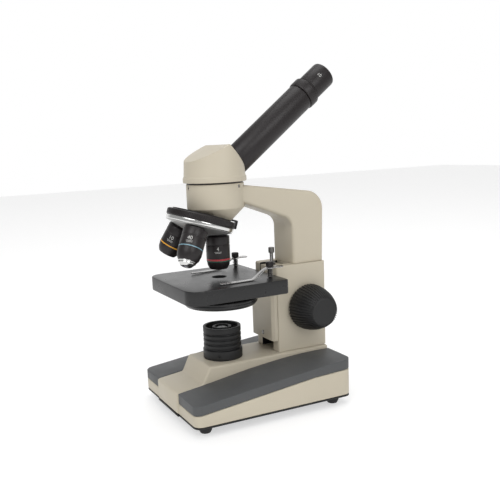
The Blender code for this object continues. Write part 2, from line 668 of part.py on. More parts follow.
def make_nosepiece():
    base = rod("nosepiece_base", 28.6, 2.9, 7.6, BLACK, TURRET, segments=ROUND)
    combine(base, rod("base_light_hole", LIGHT_BORE, 150, 220, None, FRAME, segments=ROUND))
    pivot, hub, neck = 3.0, 6.0, 28.8
    combine(base, rod("base_thread", pivot + GAP, 0, 20, None, TURRET))
    low = CONE_RIM[1] - (CONE_RIM[0] - hub) * math.tan(TURRET_TILT)
    plated = TURRET_RADIUS - 0.2
    shape = [(pivot + GAP, 2.6), (neck, 2.6), (neck, -0.2), (plated, -0.2), (plated, -3.2), CONE_RIM,
             (hub, low), (pivot + GAP, low)]
    turret = turned("turret", shape, CHROME, SPINNER, segments=LARGE_ROUND, closed=True)
    inside = neck + GAP
    grip = [(inside, 6.5), (TURRET_RADIUS - 0.6, 6.5), (TURRET_RADIUS, 5.9), (TURRET_RADIUS, 0.1),
            (inside, 0.1)]
    turned("turret_grip", grip, BLACK, SPINNER, segments=LARGE_ROUND, closed=True)
    bolt = [(0, 7), (pivot, 7), (pivot, low - GAP), (hub, low - GAP), (hub, low - 3), (0, low - 3)]
    turned("turret_screw", bolt, STEEL, TURRET, segments=SMALL_ROUND)
    return turret


def objective_frame(name, turn):
    """An empty on the objective's shoulder, its Z up the objective's own axis."""
    slope = math.tan(TURRET_TILT)
    start = -TURRET_CENTRE[0] / math.cos(TURRET_TILT)
    drop = (-CONE_RIM[1] + (CONE_RIM[0] - start) * slope) / (1 + slope * slope)
    reach = start + drop * slope
    angle = math.radians(turn)
    spot = (reach * math.cos(angle), reach * math.sin(angle), -drop)
    return empty(f"objective_axis_{name}", spot, (0, -TURRET_TILT, angle), SPINNER)


def turned_barrel(name, low, mouth, tip, seat):
    """An objective's body, hollow, from its thread above the shoulder down to low."""
    wide, wall = OBJECTIVE_RADIUS, mouth + 1.9
    profile = [(7.6, 5.0), (7.6, -0.6), (wide, -1.0), (wide, low + 8), (wide - 0.9, low + 3.5),
               (tip, low), (wall, low), (wall, low + 9), (6.0, low + 9), (6.0, 5.0)]
    turned(name, profile, BLACK, seat, closed=True)


def turned_lens(name, radius, low, seat):
    turned(name, [(0, low + 2.4), (radius, low + 2.4), (radius, low), (0, low)], GLASS, seat, segments=20)


def make_objectives(turret):
    for name, (turn, length) in OBJECTIVES.items():
        seat = objective_frame(name, turn)
        combine(turret, rod(f"objective_hole_{name}", 8.0, -6, 30, None, seat, segments=20))
        if name == "40x":
            mouth, low = 5.5, -length + 4.5
            turned_barrel("objective_40x", low, mouth, 8.4, seat)
            inner, outer = mouth - 0.3, mouth + 1.6
            nose = [(inner, low + 6), (outer, low + 6), (outer, -length + 2.0), (mouth + 0.4, -length),
                    (inner, -length)]
            turned("objective_40x_nose", nose, CHROME, seat, closed=True)
            turned_lens("objective_40x_lens", mouth - 0.6, -length + 0.6, seat)
        else:
            mouth = 6.0
            turned_barrel(f"objective_{name}", -length, mouth, 8.6, seat)
            turned_lens(f"objective_{name}_lens", mouth + 0.6 + 1.0, -length + 3, seat)


def make_head():
    low = SEAM + 1.5
    top, flange = RIDGE[1] + 3.6, SEAM + 6.1
    body = [(0, top), (HEAD_TOP_RADIUS, top), (HEAD_RADIUS, flange + 1), (HEAD_FLANGE, flange),
            (HEAD_FLANGE, low), (0, low)]
    head = turned("head_housing", [(r, z - SEAM) for r, z in body], CREAM, HEAD, segments=LARGE_ROUND)
    rise = math.atan2(RIDGE[1] - HEAD_FRONT_TOP, RIDGE[0] + HEAD_RADIUS)
    ridge = (0, RIDGE[0], RIDGE[1] - SEAM)
    front = empty("front_facet", ridge, (rise, 0, 0), HEAD)
    combine(head, box("front_facet_cutter", (-50, -90, 0), (50, 60, 40), None, front))
    rear = empty("rear_facet", ridge, (-HEAD_REAR_FALL, 0, 0), HEAD)
    combine(head, box("rear_facet_cutter", (-50, -60, 0), (50, 60, 60), None, rear))
    combine(head, rod("tube_hole", TUBE_RADIUS + GAP, TUBE_START - 1, 80, None, TUBE, segments=ROUND))
    combine(head, rod("prism_well", 14.0, -10, 15, None, HEAD, segments=ROUND))
    ring = [(17.5, 1.2), (27.2, 1.2), (27.2, 0.3), (20.7, 0.3), (19.4, -5.5), (17.5, -5.5)]
    turned("dovetail_ring", ring, BLACK, HEAD, segments=ROUND, closed=True)
    prism = [(-8, -5), (8, -5), (8.6, 3.5), (-2.5, 9.5)]
    extruded("prism", prism, -7.5, 7.5, "X", GLASS, HEAD)


def make_tube():
    low, high = COLLAR
    end = low - 0.5
    tube = [(TUBE_BORE, end), (TUBE_RADIUS, end), (TUBE_RADIUS, TUBE_START), (TUBE_BORE, TUBE_START)]
    turned("eyepiece_tube", tube, BLACK, TUBE, closed=True)
    wide = TUBE_RADIUS + 1.0
    collar = [(TUBE_BORE, high), (wide - 0.6, high), (wide, high - 0.6), (wide, low + 0.6),
              (wide - 0.6, low), (TUBE_BORE, low)]
    turned("tube_collar", collar, BLACK, TUBE, closed=True)


def make_eyepiece():
    end, shoulder = EYEPIECE_END, COLLAR[1] + GAP
    plug, low = TUBE_BORE - GAP, 97.0
    body = [(8.5, end), (EYEPIECE_RADIUS - 1.2, end), (EYEPIECE_RADIUS, end - 1.6),
            (EYEPIECE_RADIUS, shoulder), (plug, shoulder), (plug, low), (9.6, low), (9.6, end - 7),
            (8.5, end - 7)]
    turned("eyepiece_body", body, BLACK, EYEPIECE, closed=True)
    eye = [(0, end - 1.8), (5, end - 2.4), (8.2, end - 3.6), (8.2, end - 6.5), (0, end - 6.5)]
    turned("eye_lens", eye, GLASS, EYEPIECE, segments=20)
    field = [(0, 104), (5, 103.4), (9.3, 101.5), (9.3, 100), (0, 100)]
    turned("field_lens", field, GLASS, EYEPIECE, segments=20)


clear_scene()
PARTS = new_collection("microscope")
CUTTERS = new_collection("microscope_cutters")
FRAME = empty("optical_axis", (0, OPTIC_Y, 0))
STAGE = empty("stage_surface", (0, 0, STAGE_TOP), parent=FRAME)
PINION = empty("focus_axis", (0, *FOCUS_AXIS), (0, math.pi / 2, 0), FRAME)
TURRET = empty("nosepiece_axis", (0, *TURRET_CENTRE), (-TURRET_TILT, 0, 0), FRAME)
SPINNER = empty("turret_axis", (0, 0, 0), parent=TURRET)
HEAD = empty("head_axis", (0, 0, SEAM), parent=FRAME)
TUBE = empty("tube_axis", (0, 0, TUBE_CROSSING - SEAM), (TUBE_RISE - math.pi / 2, 0, 0), HEAD)
EYEPIECE = empty("eyepiece_axis", (0, 0, 0), parent=TUBE)

make_base()
make_side_covers()
make_base_fittings()
make_electrics()
make_rear_fittings()
make_illuminator()
make_pillar()
make_upper_arm()
make_stage_plate()
make_bracket()
make_clips()
make_diaphragm()
make_stop_screw()
make_focus_drive()
make_objectives(make_nosepiece())
make_head()
make_tube()
make_eyepiece()
bpy.context.view_layer.update()
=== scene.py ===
import bpy
import json
import math
from mathutils import Matrix, Vector


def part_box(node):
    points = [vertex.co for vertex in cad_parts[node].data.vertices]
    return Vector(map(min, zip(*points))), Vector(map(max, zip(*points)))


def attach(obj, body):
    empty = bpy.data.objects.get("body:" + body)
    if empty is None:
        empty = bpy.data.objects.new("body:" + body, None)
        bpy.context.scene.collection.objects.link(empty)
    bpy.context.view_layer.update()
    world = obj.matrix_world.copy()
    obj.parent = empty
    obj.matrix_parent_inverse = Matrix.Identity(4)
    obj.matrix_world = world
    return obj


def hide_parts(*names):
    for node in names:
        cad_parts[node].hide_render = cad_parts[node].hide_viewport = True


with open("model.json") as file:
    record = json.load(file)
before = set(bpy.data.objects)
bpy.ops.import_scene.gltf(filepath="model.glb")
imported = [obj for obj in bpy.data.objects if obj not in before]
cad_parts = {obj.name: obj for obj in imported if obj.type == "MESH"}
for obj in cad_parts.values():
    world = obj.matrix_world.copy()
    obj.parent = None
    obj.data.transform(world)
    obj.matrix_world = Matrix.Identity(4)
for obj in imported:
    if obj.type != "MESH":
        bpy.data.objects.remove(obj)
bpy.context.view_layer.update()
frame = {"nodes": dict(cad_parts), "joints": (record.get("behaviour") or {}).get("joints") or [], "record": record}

# Lengths below are in millimetres and mm turns them into metres. Y runs from the optical axis
# towards the arm, and opticY puts it where the model has it.
mm = 0.001
joints = {joint["name"]: joint for joint in frame["joints"]}
opticY = joints["head_turn"]["pos_m"][1]
opticFrame = Matrix.Translation((0, opticY, 0))
quality = {"round": 96, "smallRound": 32, "smoothAngle": 38, "weld": 0.002}


def deselectAll():
    if bpy.context.object and bpy.context.object.mode != "OBJECT":
        bpy.ops.object.mode_set(mode="OBJECT")
    bpy.ops.object.select_all(action="DESELECT")


def makeActive(piece):
    deselectAll()
    piece.select_set(True)
    bpy.context.view_layer.objects.active = piece


def editMode(piece):
    makeActive(piece)
    bpy.ops.object.mode_set(mode="EDIT")


def objectMode():
    bpy.ops.object.mode_set(mode="OBJECT")


def selectWhole():
    bpy.ops.mesh.select_all(action="SELECT")


def mergeDoubles(threshold):
    selectWhole()
    bpy.ops.mesh.remove_doubles(threshold=threshold * mm)


def crossCuts(piece, normal, places):
    # cuts the faces across at each place along the normal
    editMode(piece)
    for place in places:
        selectWhole()
        bpy.ops.mesh.bisect(plane_co=[part * place * mm for part in normal], plane_no=normal)
    objectMode()


def shift(x, y, z):
    return Matrix.Translation((x * mm, y * mm, z * mm))


def sideways(degrees, height):
    # Z points out from the optical axis, at a height and an angle round it
    turn = Matrix.Rotation(math.radians(degrees), 4, "Z") @ Matrix.Rotation(math.pi / 2, 4, "Y")
    return shift(0, 0, height) @ turn


def selectFaces(piece, test):
    # leaves the piece in edit mode with only the faces that pass the test selected
    editMode(piece)
    bpy.ops.mesh.select_mode(type="FACE")
    bpy.ops.mesh.select_all(action="DESELECT")
    objectMode()
    for face in piece.data.polygons:
        face.select = test(face.center / mm, face.normal)
    bpy.ops.object.mode_set(mode="EDIT")


def selectEdges(piece, test):
    # the test gets the two ends of each edge, in millimetres
    editMode(piece)
    bpy.ops.mesh.select_mode(type="EDGE")
    bpy.ops.mesh.select_all(action="DESELECT")
    objectMode()
    points = piece.data.vertices
    for edge in piece.data.edges:
        edge.select = test(*[points[i].co / mm for i in edge.vertices])
    bpy.ops.object.mode_set(mode="EDIT")


def placeMesh(piece, matrix):
    # the place goes into the mesh and the object stays at the origin
    bpy.context.view_layer.update()
    piece.matrix_world = matrix @ piece.matrix_world
    makeActive(piece)
    bpy.ops.object.transform_apply(location=True, rotation=True, scale=True)


def tracePath(name, points, closed):
    # a line of vertices drawn by extruding one point after another
    deselectAll()
    bpy.ops.mesh.primitive_plane_add(size=mm)
    piece = bpy.context.object
    piece.name = piece.data.name = name
    bpy.ops.object.mode_set(mode="EDIT")
    bpy.ops.mesh.select_mode(type="VERT")
    selectWhole()
    bpy.ops.mesh.merge(type="CENTER")
    bpy.ops.transform.translate(value=Vector(points[0]) * mm)
    route = list(points) + ([points[0]] if closed else [])
    for here, there in zip(route, route[1:]):
        step = (Vector(there) - Vector(here)) * mm
        bpy.ops.mesh.extrude_vertices_move(TRANSFORM_OT_translate={"value": step})
    mergeDoubles(quality["weld"])
    return piece


def spinRound(piece, steps):
    selectWhole()
    bpy.ops.mesh.spin(steps=steps, angle=2 * math.pi, center=(0, 0, 0), axis=(0, 0, 1))
    mergeDoubles(quality["weld"])
    bpy.ops.mesh.normals_make_consistent(inside=False)
    objectMode()


def roundEdges(piece, width, segments=3, angle=30):
    makeActive(piece)
    bevel = piece.modifiers.new("edges", "BEVEL")
    bevel.width = width * mm
    bevel.segments = segments
    bevel.limit_method = "ANGLE"
    bevel.angle_limit = math.radians(angle)
    bevel.harden_normals = False
    bpy.ops.object.modifier_apply(modifier=bevel.name)


def smooth(piece, angle=None):
    makeActive(piece)
    bpy.ops.object.shade_smooth_by_angle(angle=math.radians(angle or quality["smoothAngle"]))


def turnedPiece(name, profile, steps=None, edge=0.0, segments=2):
    # (radius, height) points turned round Z; a profile that starts off the axis is a closed ring
    piece = tracePath(name, [(radius, 0, height) for radius, height in profile], profile[0][0] > 0)
    spinRound(piece, steps or quality["round"])
    if edge:
        roundEdges(piece, edge, segments)
    smooth(piece)
    return piece


def outlinePiece(name, outline, start, end, along):
    # a flat outline with a thickness along X or Z
    spread = {"X": lambda u, v: (start, u, v), "Z": lambda u, v: (u, v, start)}[along]
    push = {"X": (end - start, 0, 0), "Z": (0, 0, end - start)}[along]
    piece = tracePath(name, [spread(u, v) for u, v in outline], True)
    bpy.ops.mesh.edge_face_add()
    bpy.ops.mesh.extrude_region_move(TRANSFORM_OT_translate={"value": Vector(push) * mm})
    selectWhole()
    bpy.ops.mesh.normals_make_consistent(inside=False)
    objectMode()
    return piece


def boxPiece(name, low, high):
    low, high = Vector(low), Vector(high)
    deselectAll()
    bpy.ops.mesh.primitive_cube_add(size=1, location=(low + high) / 2 * mm)
    piece = bpy.context.object
    piece.name = piece.data.name = name
    piece.scale = (high - low) * mm
    bpy.ops.object.transform_apply(location=True, rotation=True, scale=True)
    return piece


def rodPiece(name, radius, low, high, steps=None):
    deselectAll()
    bpy.ops.mesh.primitive_cylinder_add(vertices=steps or quality["smallRound"], radius=radius * mm,
                                        depth=(high - low) * mm, location=(0, 0, (low + high) / 2 * mm))
    piece = bpy.context.object
    piece.name = piece.data.name = name
    bpy.ops.object.transform_apply(location=True, rotation=True, scale=True)
    return piece


def cutWith(piece, cutter, operation="DIFFERENCE"):
    # one piece cuts or joins another and is used up
    makeActive(piece)
    change = piece.modifiers.new("cut", "BOOLEAN")
    change.operation = operation
    change.object = cutter
    change.solver = "EXACT"
    bpy.ops.object.modifier_apply(modifier=change.name)
    bpy.data.objects.remove(cutter)


def slicePiece(piece, point, normal):
    # takes away what lies on the normal's side of a plane and closes the cut
    editMode(piece)
    selectWhole()
    facing = Vector(normal).normalized()
    bpy.ops.mesh.bisect(plane_co=Vector(point) * mm, plane_no=facing, use_fill=True, clear_outer=True)
    objectMode()


def raiseFaces(piece, test, height):
    # pushes the chosen faces out along their normals
    selectFaces(piece, test)
    bpy.ops.mesh.extrude_region_shrink_fatten(TRANSFORM_OT_shrink_fatten={"value": height * mm})
    objectMode()


def softenedCopy(node, width, name=None):
    # a copy of a frame part with its loose triangles joined and its edges rounded
    piece = bpy.data.objects.new(name or f"{node}_shape", frame["nodes"][node].data.copy())
    bpy.context.scene.collection.objects.link(piece)
    makeActive(piece)
    bpy.ops.mesh.customdata_custom_splitnormals_clear()
    bpy.ops.object.mode_set(mode="EDIT")
    mergeDoubles(0.005)
    bpy.ops.mesh.dissolve_limited(angle_limit=math.radians(0.6))
    objectMode()
    roundEdges(piece, width)
    smooth(piece)
    return piece


def finishPiece(piece, place, body, slot, finish, *nodes):
    placeMesh(piece, place)
    piece.data.materials.clear()
    piece.data.materials.append(finishes[finish])
    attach(piece, body)
    if nodes:
        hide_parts(*nodes)
    return piece


def arcPoints(centre, radius, first, last, steps):
    turns = [math.radians(first + (last - first) * i / steps) for i in range(steps + 1)]
    return [(centre[0] + radius * math.cos(t), centre[1] + radius * math.sin(t)) for t in turns]


def roundedPlan(low, high, corners, steps=10):
    # corner radii run from the low corner anticlockwise
    spots = [(low[0], low[1], 180), (high[0], low[1], 270), (high[0], high[1], 0), (low[0], high[1], 90)]
    plan = []
    for (x, y, first), radius in zip(spots, corners):
        centre = (x + math.copysign(radius, low[0] + high[0] - 2 * x),
                  y + math.copysign(radius, low[1] + high[1] - 2 * y))
        plan += arcPoints(centre, radius, first, first + 90, steps)
    return plan


def noiseNode(tree, place, scale, detail, stretch=(1, 1, 1), turn=(0, 0, 0)):
    mapping = tree.nodes.new("ShaderNodeMapping")
    mapping.inputs["Scale"].default_value = stretch
    mapping.inputs["Rotation"].default_value = turn
    tree.links.new(place.outputs["Object"], mapping.inputs["Vector"])
    noise = tree.nodes.new("ShaderNodeTexNoise")
    noise.inputs["Scale"].default_value = scale
    noise.inputs["Detail"].default_value = detail
    tree.links.new(mapping.outputs["Vector"], noise.inputs["Vector"])
    return noise.outputs["Fac"]


pattern = {"cloud": 22.0, "cloudSpan": (0.32, 0.68), "smear": 60.0, "smearSpan": (0.3, 0.7), "depth": 0.05}


def surfaceMaterial(name, look):
    # a soft cloud in the colour, a smear in the roughness and a fine grain in the relief
    made = bpy.data.materials.new(name)
    made.use_nodes = True
    tree = made.node_tree
    shader = tree.nodes["Principled BSDF"]
    for socket, value in look.get("sockets", {}).items():
        shader.inputs[socket].default_value = value
    place = tree.nodes.new("ShaderNodeTexCoord")
    stretch, turn = look.get("stretch", (1, 1, 1)), look.get("turn", (0, 0, 0))
    cloud = noiseNode(tree, place, pattern["cloud"], 4.0)
    ramp = tree.nodes.new("ShaderNodeValToRGB")
    shades = (1 - look["spread"], 1 + look["spread"])
    for element, at, shade in zip(ramp.color_ramp.elements, pattern["cloudSpan"], shades):
        element.position = at
        element.color = (*[channel * shade for channel in look["colour"]], 1)
    tree.links.new(cloud, ramp.inputs["Fac"])
    tree.links.new(ramp.outputs["Color"], shader.inputs["Base Color"])
    smear = noiseNode(tree, place, pattern["smear"], 5.0, stretch, turn)
    span = tree.nodes.new("ShaderNodeMapRange")
    for label, pair in (("From", pattern["smearSpan"]), ("To", look["roughness"])):
        span.inputs[f"{label} Min"].default_value, span.inputs[f"{label} Max"].default_value = pair
    tree.links.new(smear, span.inputs["Value"])
    tree.links.new(span.outputs["Result"], shader.inputs["Roughness"])
    grain = noiseNode(tree, place, look["grain"], 2.0, stretch, turn)
    bump = tree.nodes.new("ShaderNodeBump")
    bump.inputs["Strength"].default_value = look["bump"]
    bump.inputs["Distance"].default_value = pattern["depth"] * mm
    tree.links.new(grain, bump.inputs["Height"])
    tree.links.new(bump.outputs["Normal"], shader.inputs["Normal"])
    return made


tubeTurn = math.atan2(*[joints["eyepiece_lift"]["axis"][i] for i in (1, 2)])
looks = {
    "cream": {"colour": (0.52, 0.47, 0.372), "spread": 0.02, "roughness": (0.40, 0.50), "grain": 1500,
              "bump": 0.10, "sockets": {"Specular IOR Level": 0.35}},
    "grey": {"colour": (0.082, 0.085, 0.087), "spread": 0.05, "roughness": (0.46, 0.56), "grain": 2600,
             "bump": 0.22, "sockets": {"Specular IOR Level": 0.35}},
    "black": {"colour": (0.014, 0.014, 0.0145), "spread": 0.10, "roughness": (0.40, 0.52), "grain": 2600,
              "bump": 0.18, "sockets": {"Specular IOR Level": 0.35}},
    "lacquer": {"colour": (0.014, 0.011, 0.0115), "spread": 0.12, "roughness": (0.34, 0.42), "grain": 900,
                "bump": 0.05, "stretch": (1, 1, 6), "sockets": {"Specular IOR Level": 0.4}},
    "tube": {"colour": (0.016, 0.013, 0.0135), "spread": 0.10, "roughness": (0.38, 0.44), "grain": 700,
             "bump": 0.02, "stretch": (1, 1, 8), "turn": (tubeTurn, 0, 0),
             "sockets": {"Specular IOR Level": 0.35}},
    "enamel": {"colour": (0.022, 0.022, 0.0225), "spread": 0.05, "roughness": (0.26, 0.32), "grain": 700,
               "bump": 0.03, "sockets": {"Specular IOR Level": 0.3}},
    "chrome": {"colour": (0.70, 0.70, 0.69), "spread": 0.03, "roughness": (0.10, 0.18), "grain": 500,
               "bump": 0.03, "stretch": (1, 1, 10), "sockets": {"Metallic": 1.0}},
    "casting": {"colour": (0.42, 0.42, 0.41), "spread": 0.05, "roughness": (0.32, 0.42), "grain": 1200,
                "bump": 0.08, "sockets": {"Metallic": 0.7}},
    "steel": {"colour": (0.46, 0.455, 0.45), "spread": 0.04, "roughness": (0.20, 0.32), "grain": 900,
              "bump": 0.06, "stretch": (12, 1, 1), "sockets": {"Metallic": 1.0}},
    "darkSteel": {"colour": (0.20, 0.195, 0.19), "spread": 0.06, "roughness": (0.24, 0.36), "grain": 900,
                  "bump": 0.05, "sockets": {"Metallic": 1.0}},
    "brass": {"colour": (0.62, 0.44, 0.17), "spread": 0.06, "roughness": (0.22, 0.34), "grain": 900,
              "bump": 0.06, "sockets": {"Metallic": 1.0}},
    "rubber": {"colour": (0.014, 0.014, 0.014), "spread": 0.15, "roughness": (0.7, 0.85), "grain": 2200,
               "bump": 0.3},
    "board": {"colour": (0.02, 0.12, 0.04), "spread": 0.2, "roughness": (0.35, 0.5), "grain": 800,
              "bump": 0.2},
    "marking": {"colour": (0.55, 0.55, 0.53), "spread": 0.05, "roughness": (0.4, 0.5), "grain": 1500,
                "bump": 0.05},
    "frosted": {"colour": (0.30, 0.31, 0.31), "spread": 0.05, "roughness": (0.28, 0.4), "grain": 2000,
                "bump": 0.15, "sockets": {"Transmission Weight": 0.35}},
    "glass": {"colour": (0.82, 0.88, 0.90), "spread": 0.01, "roughness": (0.02, 0.05), "grain": 100,
              "bump": 0.01, "sockets": {"Transmission Weight": 0.9, "IOR": 1.52}},
    "coated": {"colour": (0.16, 0.14, 0.30), "spread": 0.15, "roughness": (0.03, 0.06), "grain": 100,
               "bump": 0.01, "sockets": {"Transmission Weight": 0.3, "IOR": 1.6, "Coat Weight": 1.0}},
    "floor": {"colour": (0.50, 0.50, 0.50), "spread": 0.01, "roughness": (0.55, 0.65), "grain": 300,
              "bump": 0.02},
}
bandColours = {"redBand": (0.42, 0.03, 0.04), "greenBand": (0.02, 0.16, 0.10),
               "yellowBand": (0.75, 0.36, 0.03), "blueBand": (0.20, 0.36, 0.44)}
for name, colour in bandColours.items():
    looks[name] = {"colour": colour, "spread": 0.05, "roughness": (0.3, 0.4), "grain": 1500, "bump": 0.05}
finishes = {name: surfaceMaterial(name, look) for name, look in looks.items()}
slotFinish = {"cream_paint": "cream", "grey_plastic": "grey", "black_plastic": "black",
              "black_lacquer": "lacquer", "black_enamel": "enamel", "chrome_plate": "chrome",
              "steel": "steel", "brass": "brass", "rubber": "rubber", "glass": "glass",
              "circuit_board": "board"}


def dressFrame():
    # every part that stays gets the finish of its slot
    for part in frame["record"]["subparts"]:
        node = frame["nodes"][part["node"]]
        node.data.materials.clear()
        node.data.materials.append(finishes[slotFinish[part["material_slot"]]])
    for name in ("eye_lens", "objective_4x_lens", "objective_10x_lens", "objective_40x_lens"):
        frame["nodes"][name].data.materials[0] = finishes["coated"]
    print("frame parts dressed")


baseSize = {"half": 67.4, "front": -61.0, "back": 108.5, "corner": 8.0, "deck": 9.9, "wall": 2.6,
            "blockTop": 40.0, "hollowTop": 17.0, "spineHalf": 26.3, "spineTop": 50.5, "noseFront": -62.5,
            "noseTop": 31.0, "slopeFoot": (-35.0, 34.4), "slopeHead": (-27.0, 50.5), "spineEdge": 2.4,
            "edge": 0.9, "lampHole": 13.5, "gap": 0.3,
            "openings": [((16.2, 100, 14.2), (43.8, 120, 31.8)), ((-37.8, 100, 16.2), (-22.2, 120, 28.8))]}
# heights over Y of the covers' lower edge, of their outer crease and of their edge at the spine
ledgeLine = [(-61.0, 20.4), (66.0, 34.3), (108.5, 36.0)]
creaseLine = [(-61.0, 29.6), (-5.0, 36.0), (49.0, 41.3), (108.5, 46.6)]
innerLine = [(-61.0, 31.0), (-34.0, 34.5), (16.0, 42.1), (56.0, 46.2), (80.0, 47.4), (108.5, 47.0)]


def lineHeight(y, knots):
    pairs = list(zip(knots, knots[1:]))
    (y0, z0), (y1, z1) = next((pair for pair in pairs if y <= pair[1][0]), pairs[-1])
    return z0 + (z1 - z0) * (y - y0) / (y1 - y0)


def softHeight(y, knots, reach=14.0):
    # the same line with its corners eased over a stretch on both sides
    samples = [lineHeight(y + reach * (i / 4 - 1), knots) for i in range(9)]
    return sum(samples) / len(samples)


def basePlan(name, low, high, inset=0.0):
    size = baseSize
    corner = (max(0.5, size["corner"] - inset),) * 4
    plan = roundedPlan((-size["half"] + inset, size["front"] + inset),
                       (size["half"] - inset, size["back"] - inset), corner)
    return outlinePiece(name, plan, low, high, "Z")


def makeBaseHousing():
    size = baseSize
    housing = basePlan("base_casting", size["deck"], size["blockTop"])
    for (y0, z0), (y1, z1) in zip(ledgeLine, ledgeLine[1:]):
        slicePiece(housing, (0, y0, z0), (0, z0 - z1, y1 - y0))
    roundEdges(housing, size["edge"], 3)
    top, front = size["spineTop"], size["noseFront"]
    foot, rear = size["deck"] + 0.02, size["back"] - 0.02  # off the block's own faces, for a clean join
    side = [(front, foot), (rear, foot), (rear, top), size["slopeHead"], size["slopeFoot"],
            (front, size["noseTop"])]
    spine = outlinePiece("spine", side, -size["spineHalf"], size["spineHalf"], "X")
    roundEdges(spine, size["spineEdge"], 5, 12)
    cutWith(housing, spine, "UNION")
    cutWith(housing, basePlan("hollow", 0, size["hollowTop"], size["wall"] + 1))
    wall = size["wall"] + size["spineEdge"] / 2
    (headY, headZ), (footY, footZ) = size["slopeHead"], size["slopeFoot"]
    inner = [(front + wall, 5), (size["back"] - wall, 5), (size["back"] - wall, headZ - wall),
             (headY + wall, headZ - wall), (footY + wall, footZ - wall),
             (front + wall, size["noseTop"] - wall)]
    half = size["spineHalf"] - wall
    cutWith(housing, outlinePiece("ridge_hollow", inner, -half, half, "X"))
    cutWith(housing, rodPiece("lamp_hole", size["lampHole"], 40, 60, quality["round"]))
    for low, high in size["openings"]:
        cutWith(housing, boxPiece("rear_opening", low, high))
    smooth(housing)
    finishPiece(housing, opticFrame, "stand", "cream_paint", "cream", "base_housing")


coverSize = {"wall": 2.4, "stations": 26, "edge": 2.2, "spare": 4.0}


def coverShape(name, side, inset, reach):
    # a block cut across at the stations, its top then laid on the crease and the inner line
    size = baseSize
    inner, edge = size["spineHalf"] + size["gap"] + inset, size["half"] - inset
    outer = edge + max(0, reach)
    stretch = (outer - inner) / (edge - inner)
    front, back = size["front"] - reach, size["back"] + reach
    near, far = sorted((side * inner, side * outer))
    block = boxPiece(name, (near, front, 0), (far, back, 1))
    count = coverSize["stations"]
    crossCuts(block, (0, 1, 0), [front + (back - front) * i / count for i in range(1, count)])
    for point in block.data.vertices:
        x, y, z = point.co / mm
        crest = softHeight(y, innerLine)
        if z < 0.5:
            height = lineHeight(y, ledgeLine) + size["gap"] - 3 * inset
        elif abs(x) > (inner + outer) / 2:
            height = crest + (softHeight(y, creaseLine) - crest) * stretch - inset
        else:
            height = crest - inset
        point.co.z = height * mm
    return block


def makeSideCovers():
    names = {-1: "side_cover_left", 1: "side_cover_right"}
    for side, node in names.items():
        cover = coverShape(f"{node}_panel", side, 0.0, coverSize["spare"])
        cutWith(cover, basePlan("cover_plan", 0, 70), "INTERSECT")
        editMode(cover)
        mergeDoubles(0.01)
        objectMode()
        roundEdges(cover, coverSize["edge"], 5, 25)
        cutWith(cover, coverShape("cover_hollow", side, coverSize["wall"], -coverSize["wall"]))
        smooth(cover)
        finishPiece(cover, opticFrame, "stand", "grey_plastic", "grey", node)


plateSize = {"low": 8.0, "high": 9.6, "edge": 0.3, "screws": [(-40, -40), (40, -40), (-40, 85), (40, 85)],
             "screwHead": [(0, 0), (3.4, 0), (3.4, -0.9), (2.4, -1.5), (0, -1.5)]}


def makeBottomPlate():
    low, high, half = plateSize["low"], plateSize["high"], baseSize["spineHalf"]
    plate = basePlan("bottom_sheet", low, high)
    cutWith(plate, boxPiece("nose_sheet", (-half, baseSize["noseFront"], low), (half, 0, high)), "UNION")
    roundEdges(plate, plateSize["edge"], 2)
    smooth(plate)
    finishPiece(plate, opticFrame, "stand", "black_plastic", "black", "bottom_plate")
    for i, (x, y) in enumerate(plateSize["screws"]):
        steps = quality["smallRound"]
        screw = turnedPiece(f"plate_screw_{i + 1}", plateSize["screwHead"], steps=steps, edge=0.15)
        for turn in (0, math.pi / 2):
            slot = boxPiece("slot", (-2.2, -0.35, -2), (2.2, 0.35, -0.9))
            placeMesh(slot, Matrix.Rotation(turn, 4, "Z"))
            cutWith(screw, slot)
        finishPiece(screw, opticFrame @ shift(x, y, low - 0.02), "stand", "steel", "steel")


footSize = {"edge": 0.4, "profile": [(0, -0.3), (6.5, -0.3), (6.5, -3.6), (6.1, -5.2), (4.9, -7.6),
                                     (4.3, -8.0), (2.2, -8.0), (2.0, -6.6), (0, -6.6)]}


def makeFeet():
    for node in ("foot_front_left", "foot_front_right", "foot_rear_left", "foot_rear_right"):
        low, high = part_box(node)
        foot = turnedPiece(f"{node}_pad", footSize["profile"], steps=48, edge=footSize["edge"])
        middle = (low + high) / 2
        finishPiece(foot, Matrix.Translation((middle.x, middle.y, plateSize["low"] * mm)),
                    "stand", "rubber", "rubber", node)


inletSize = {"edge": 0.45, "pins": [(-5.5, -1.8), (5.5, -1.8), (0, 2.2)], "pinFoot": 13.6}


def makeRearFittings():
    for node in ("power_inlet", "switch_bezel", "power_switch"):
        piece = softenedCopy(node, inletSize["edge"])
        body = "rocker" if node == "power_switch" else "stand"
        finishPiece(piece, Matrix(), body, "black_plastic", "black", node)
    low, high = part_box("power_inlet")
    middle = (low + high) / 2
    for i, (x, z) in enumerate(inletSize["pins"]):
        pin = boxPiece(f"inlet_pin_{i + 1}", (-1.0, 0, -2.0), (1.0, 9.0, 2.0))
        roundEdges(pin, 0.35, 2)
        smooth(pin)
        place = (middle.x + x * mm, high.y - inletSize["pinFoot"] * mm, middle.z + z * mm)
        finishPiece(pin, Matrix.Translation(place), "stand", "steel", "steel")


lampSize = {"low": 50.8, "high": 82.7, "wide": 19.7, "step": 60.0, "slim": 18.9, "groove": 1.5, "cut": 1.3,
            "grooves": (61.2, 66.2, 71.2, 76.2), "bore": 13.5, "screwTurn": -35,
            "screw": [(0, 18.6), (0.7, 18.6), (0.7, 19.0), (1.4, 19.0), (1.4, 15), (0, 15)]}


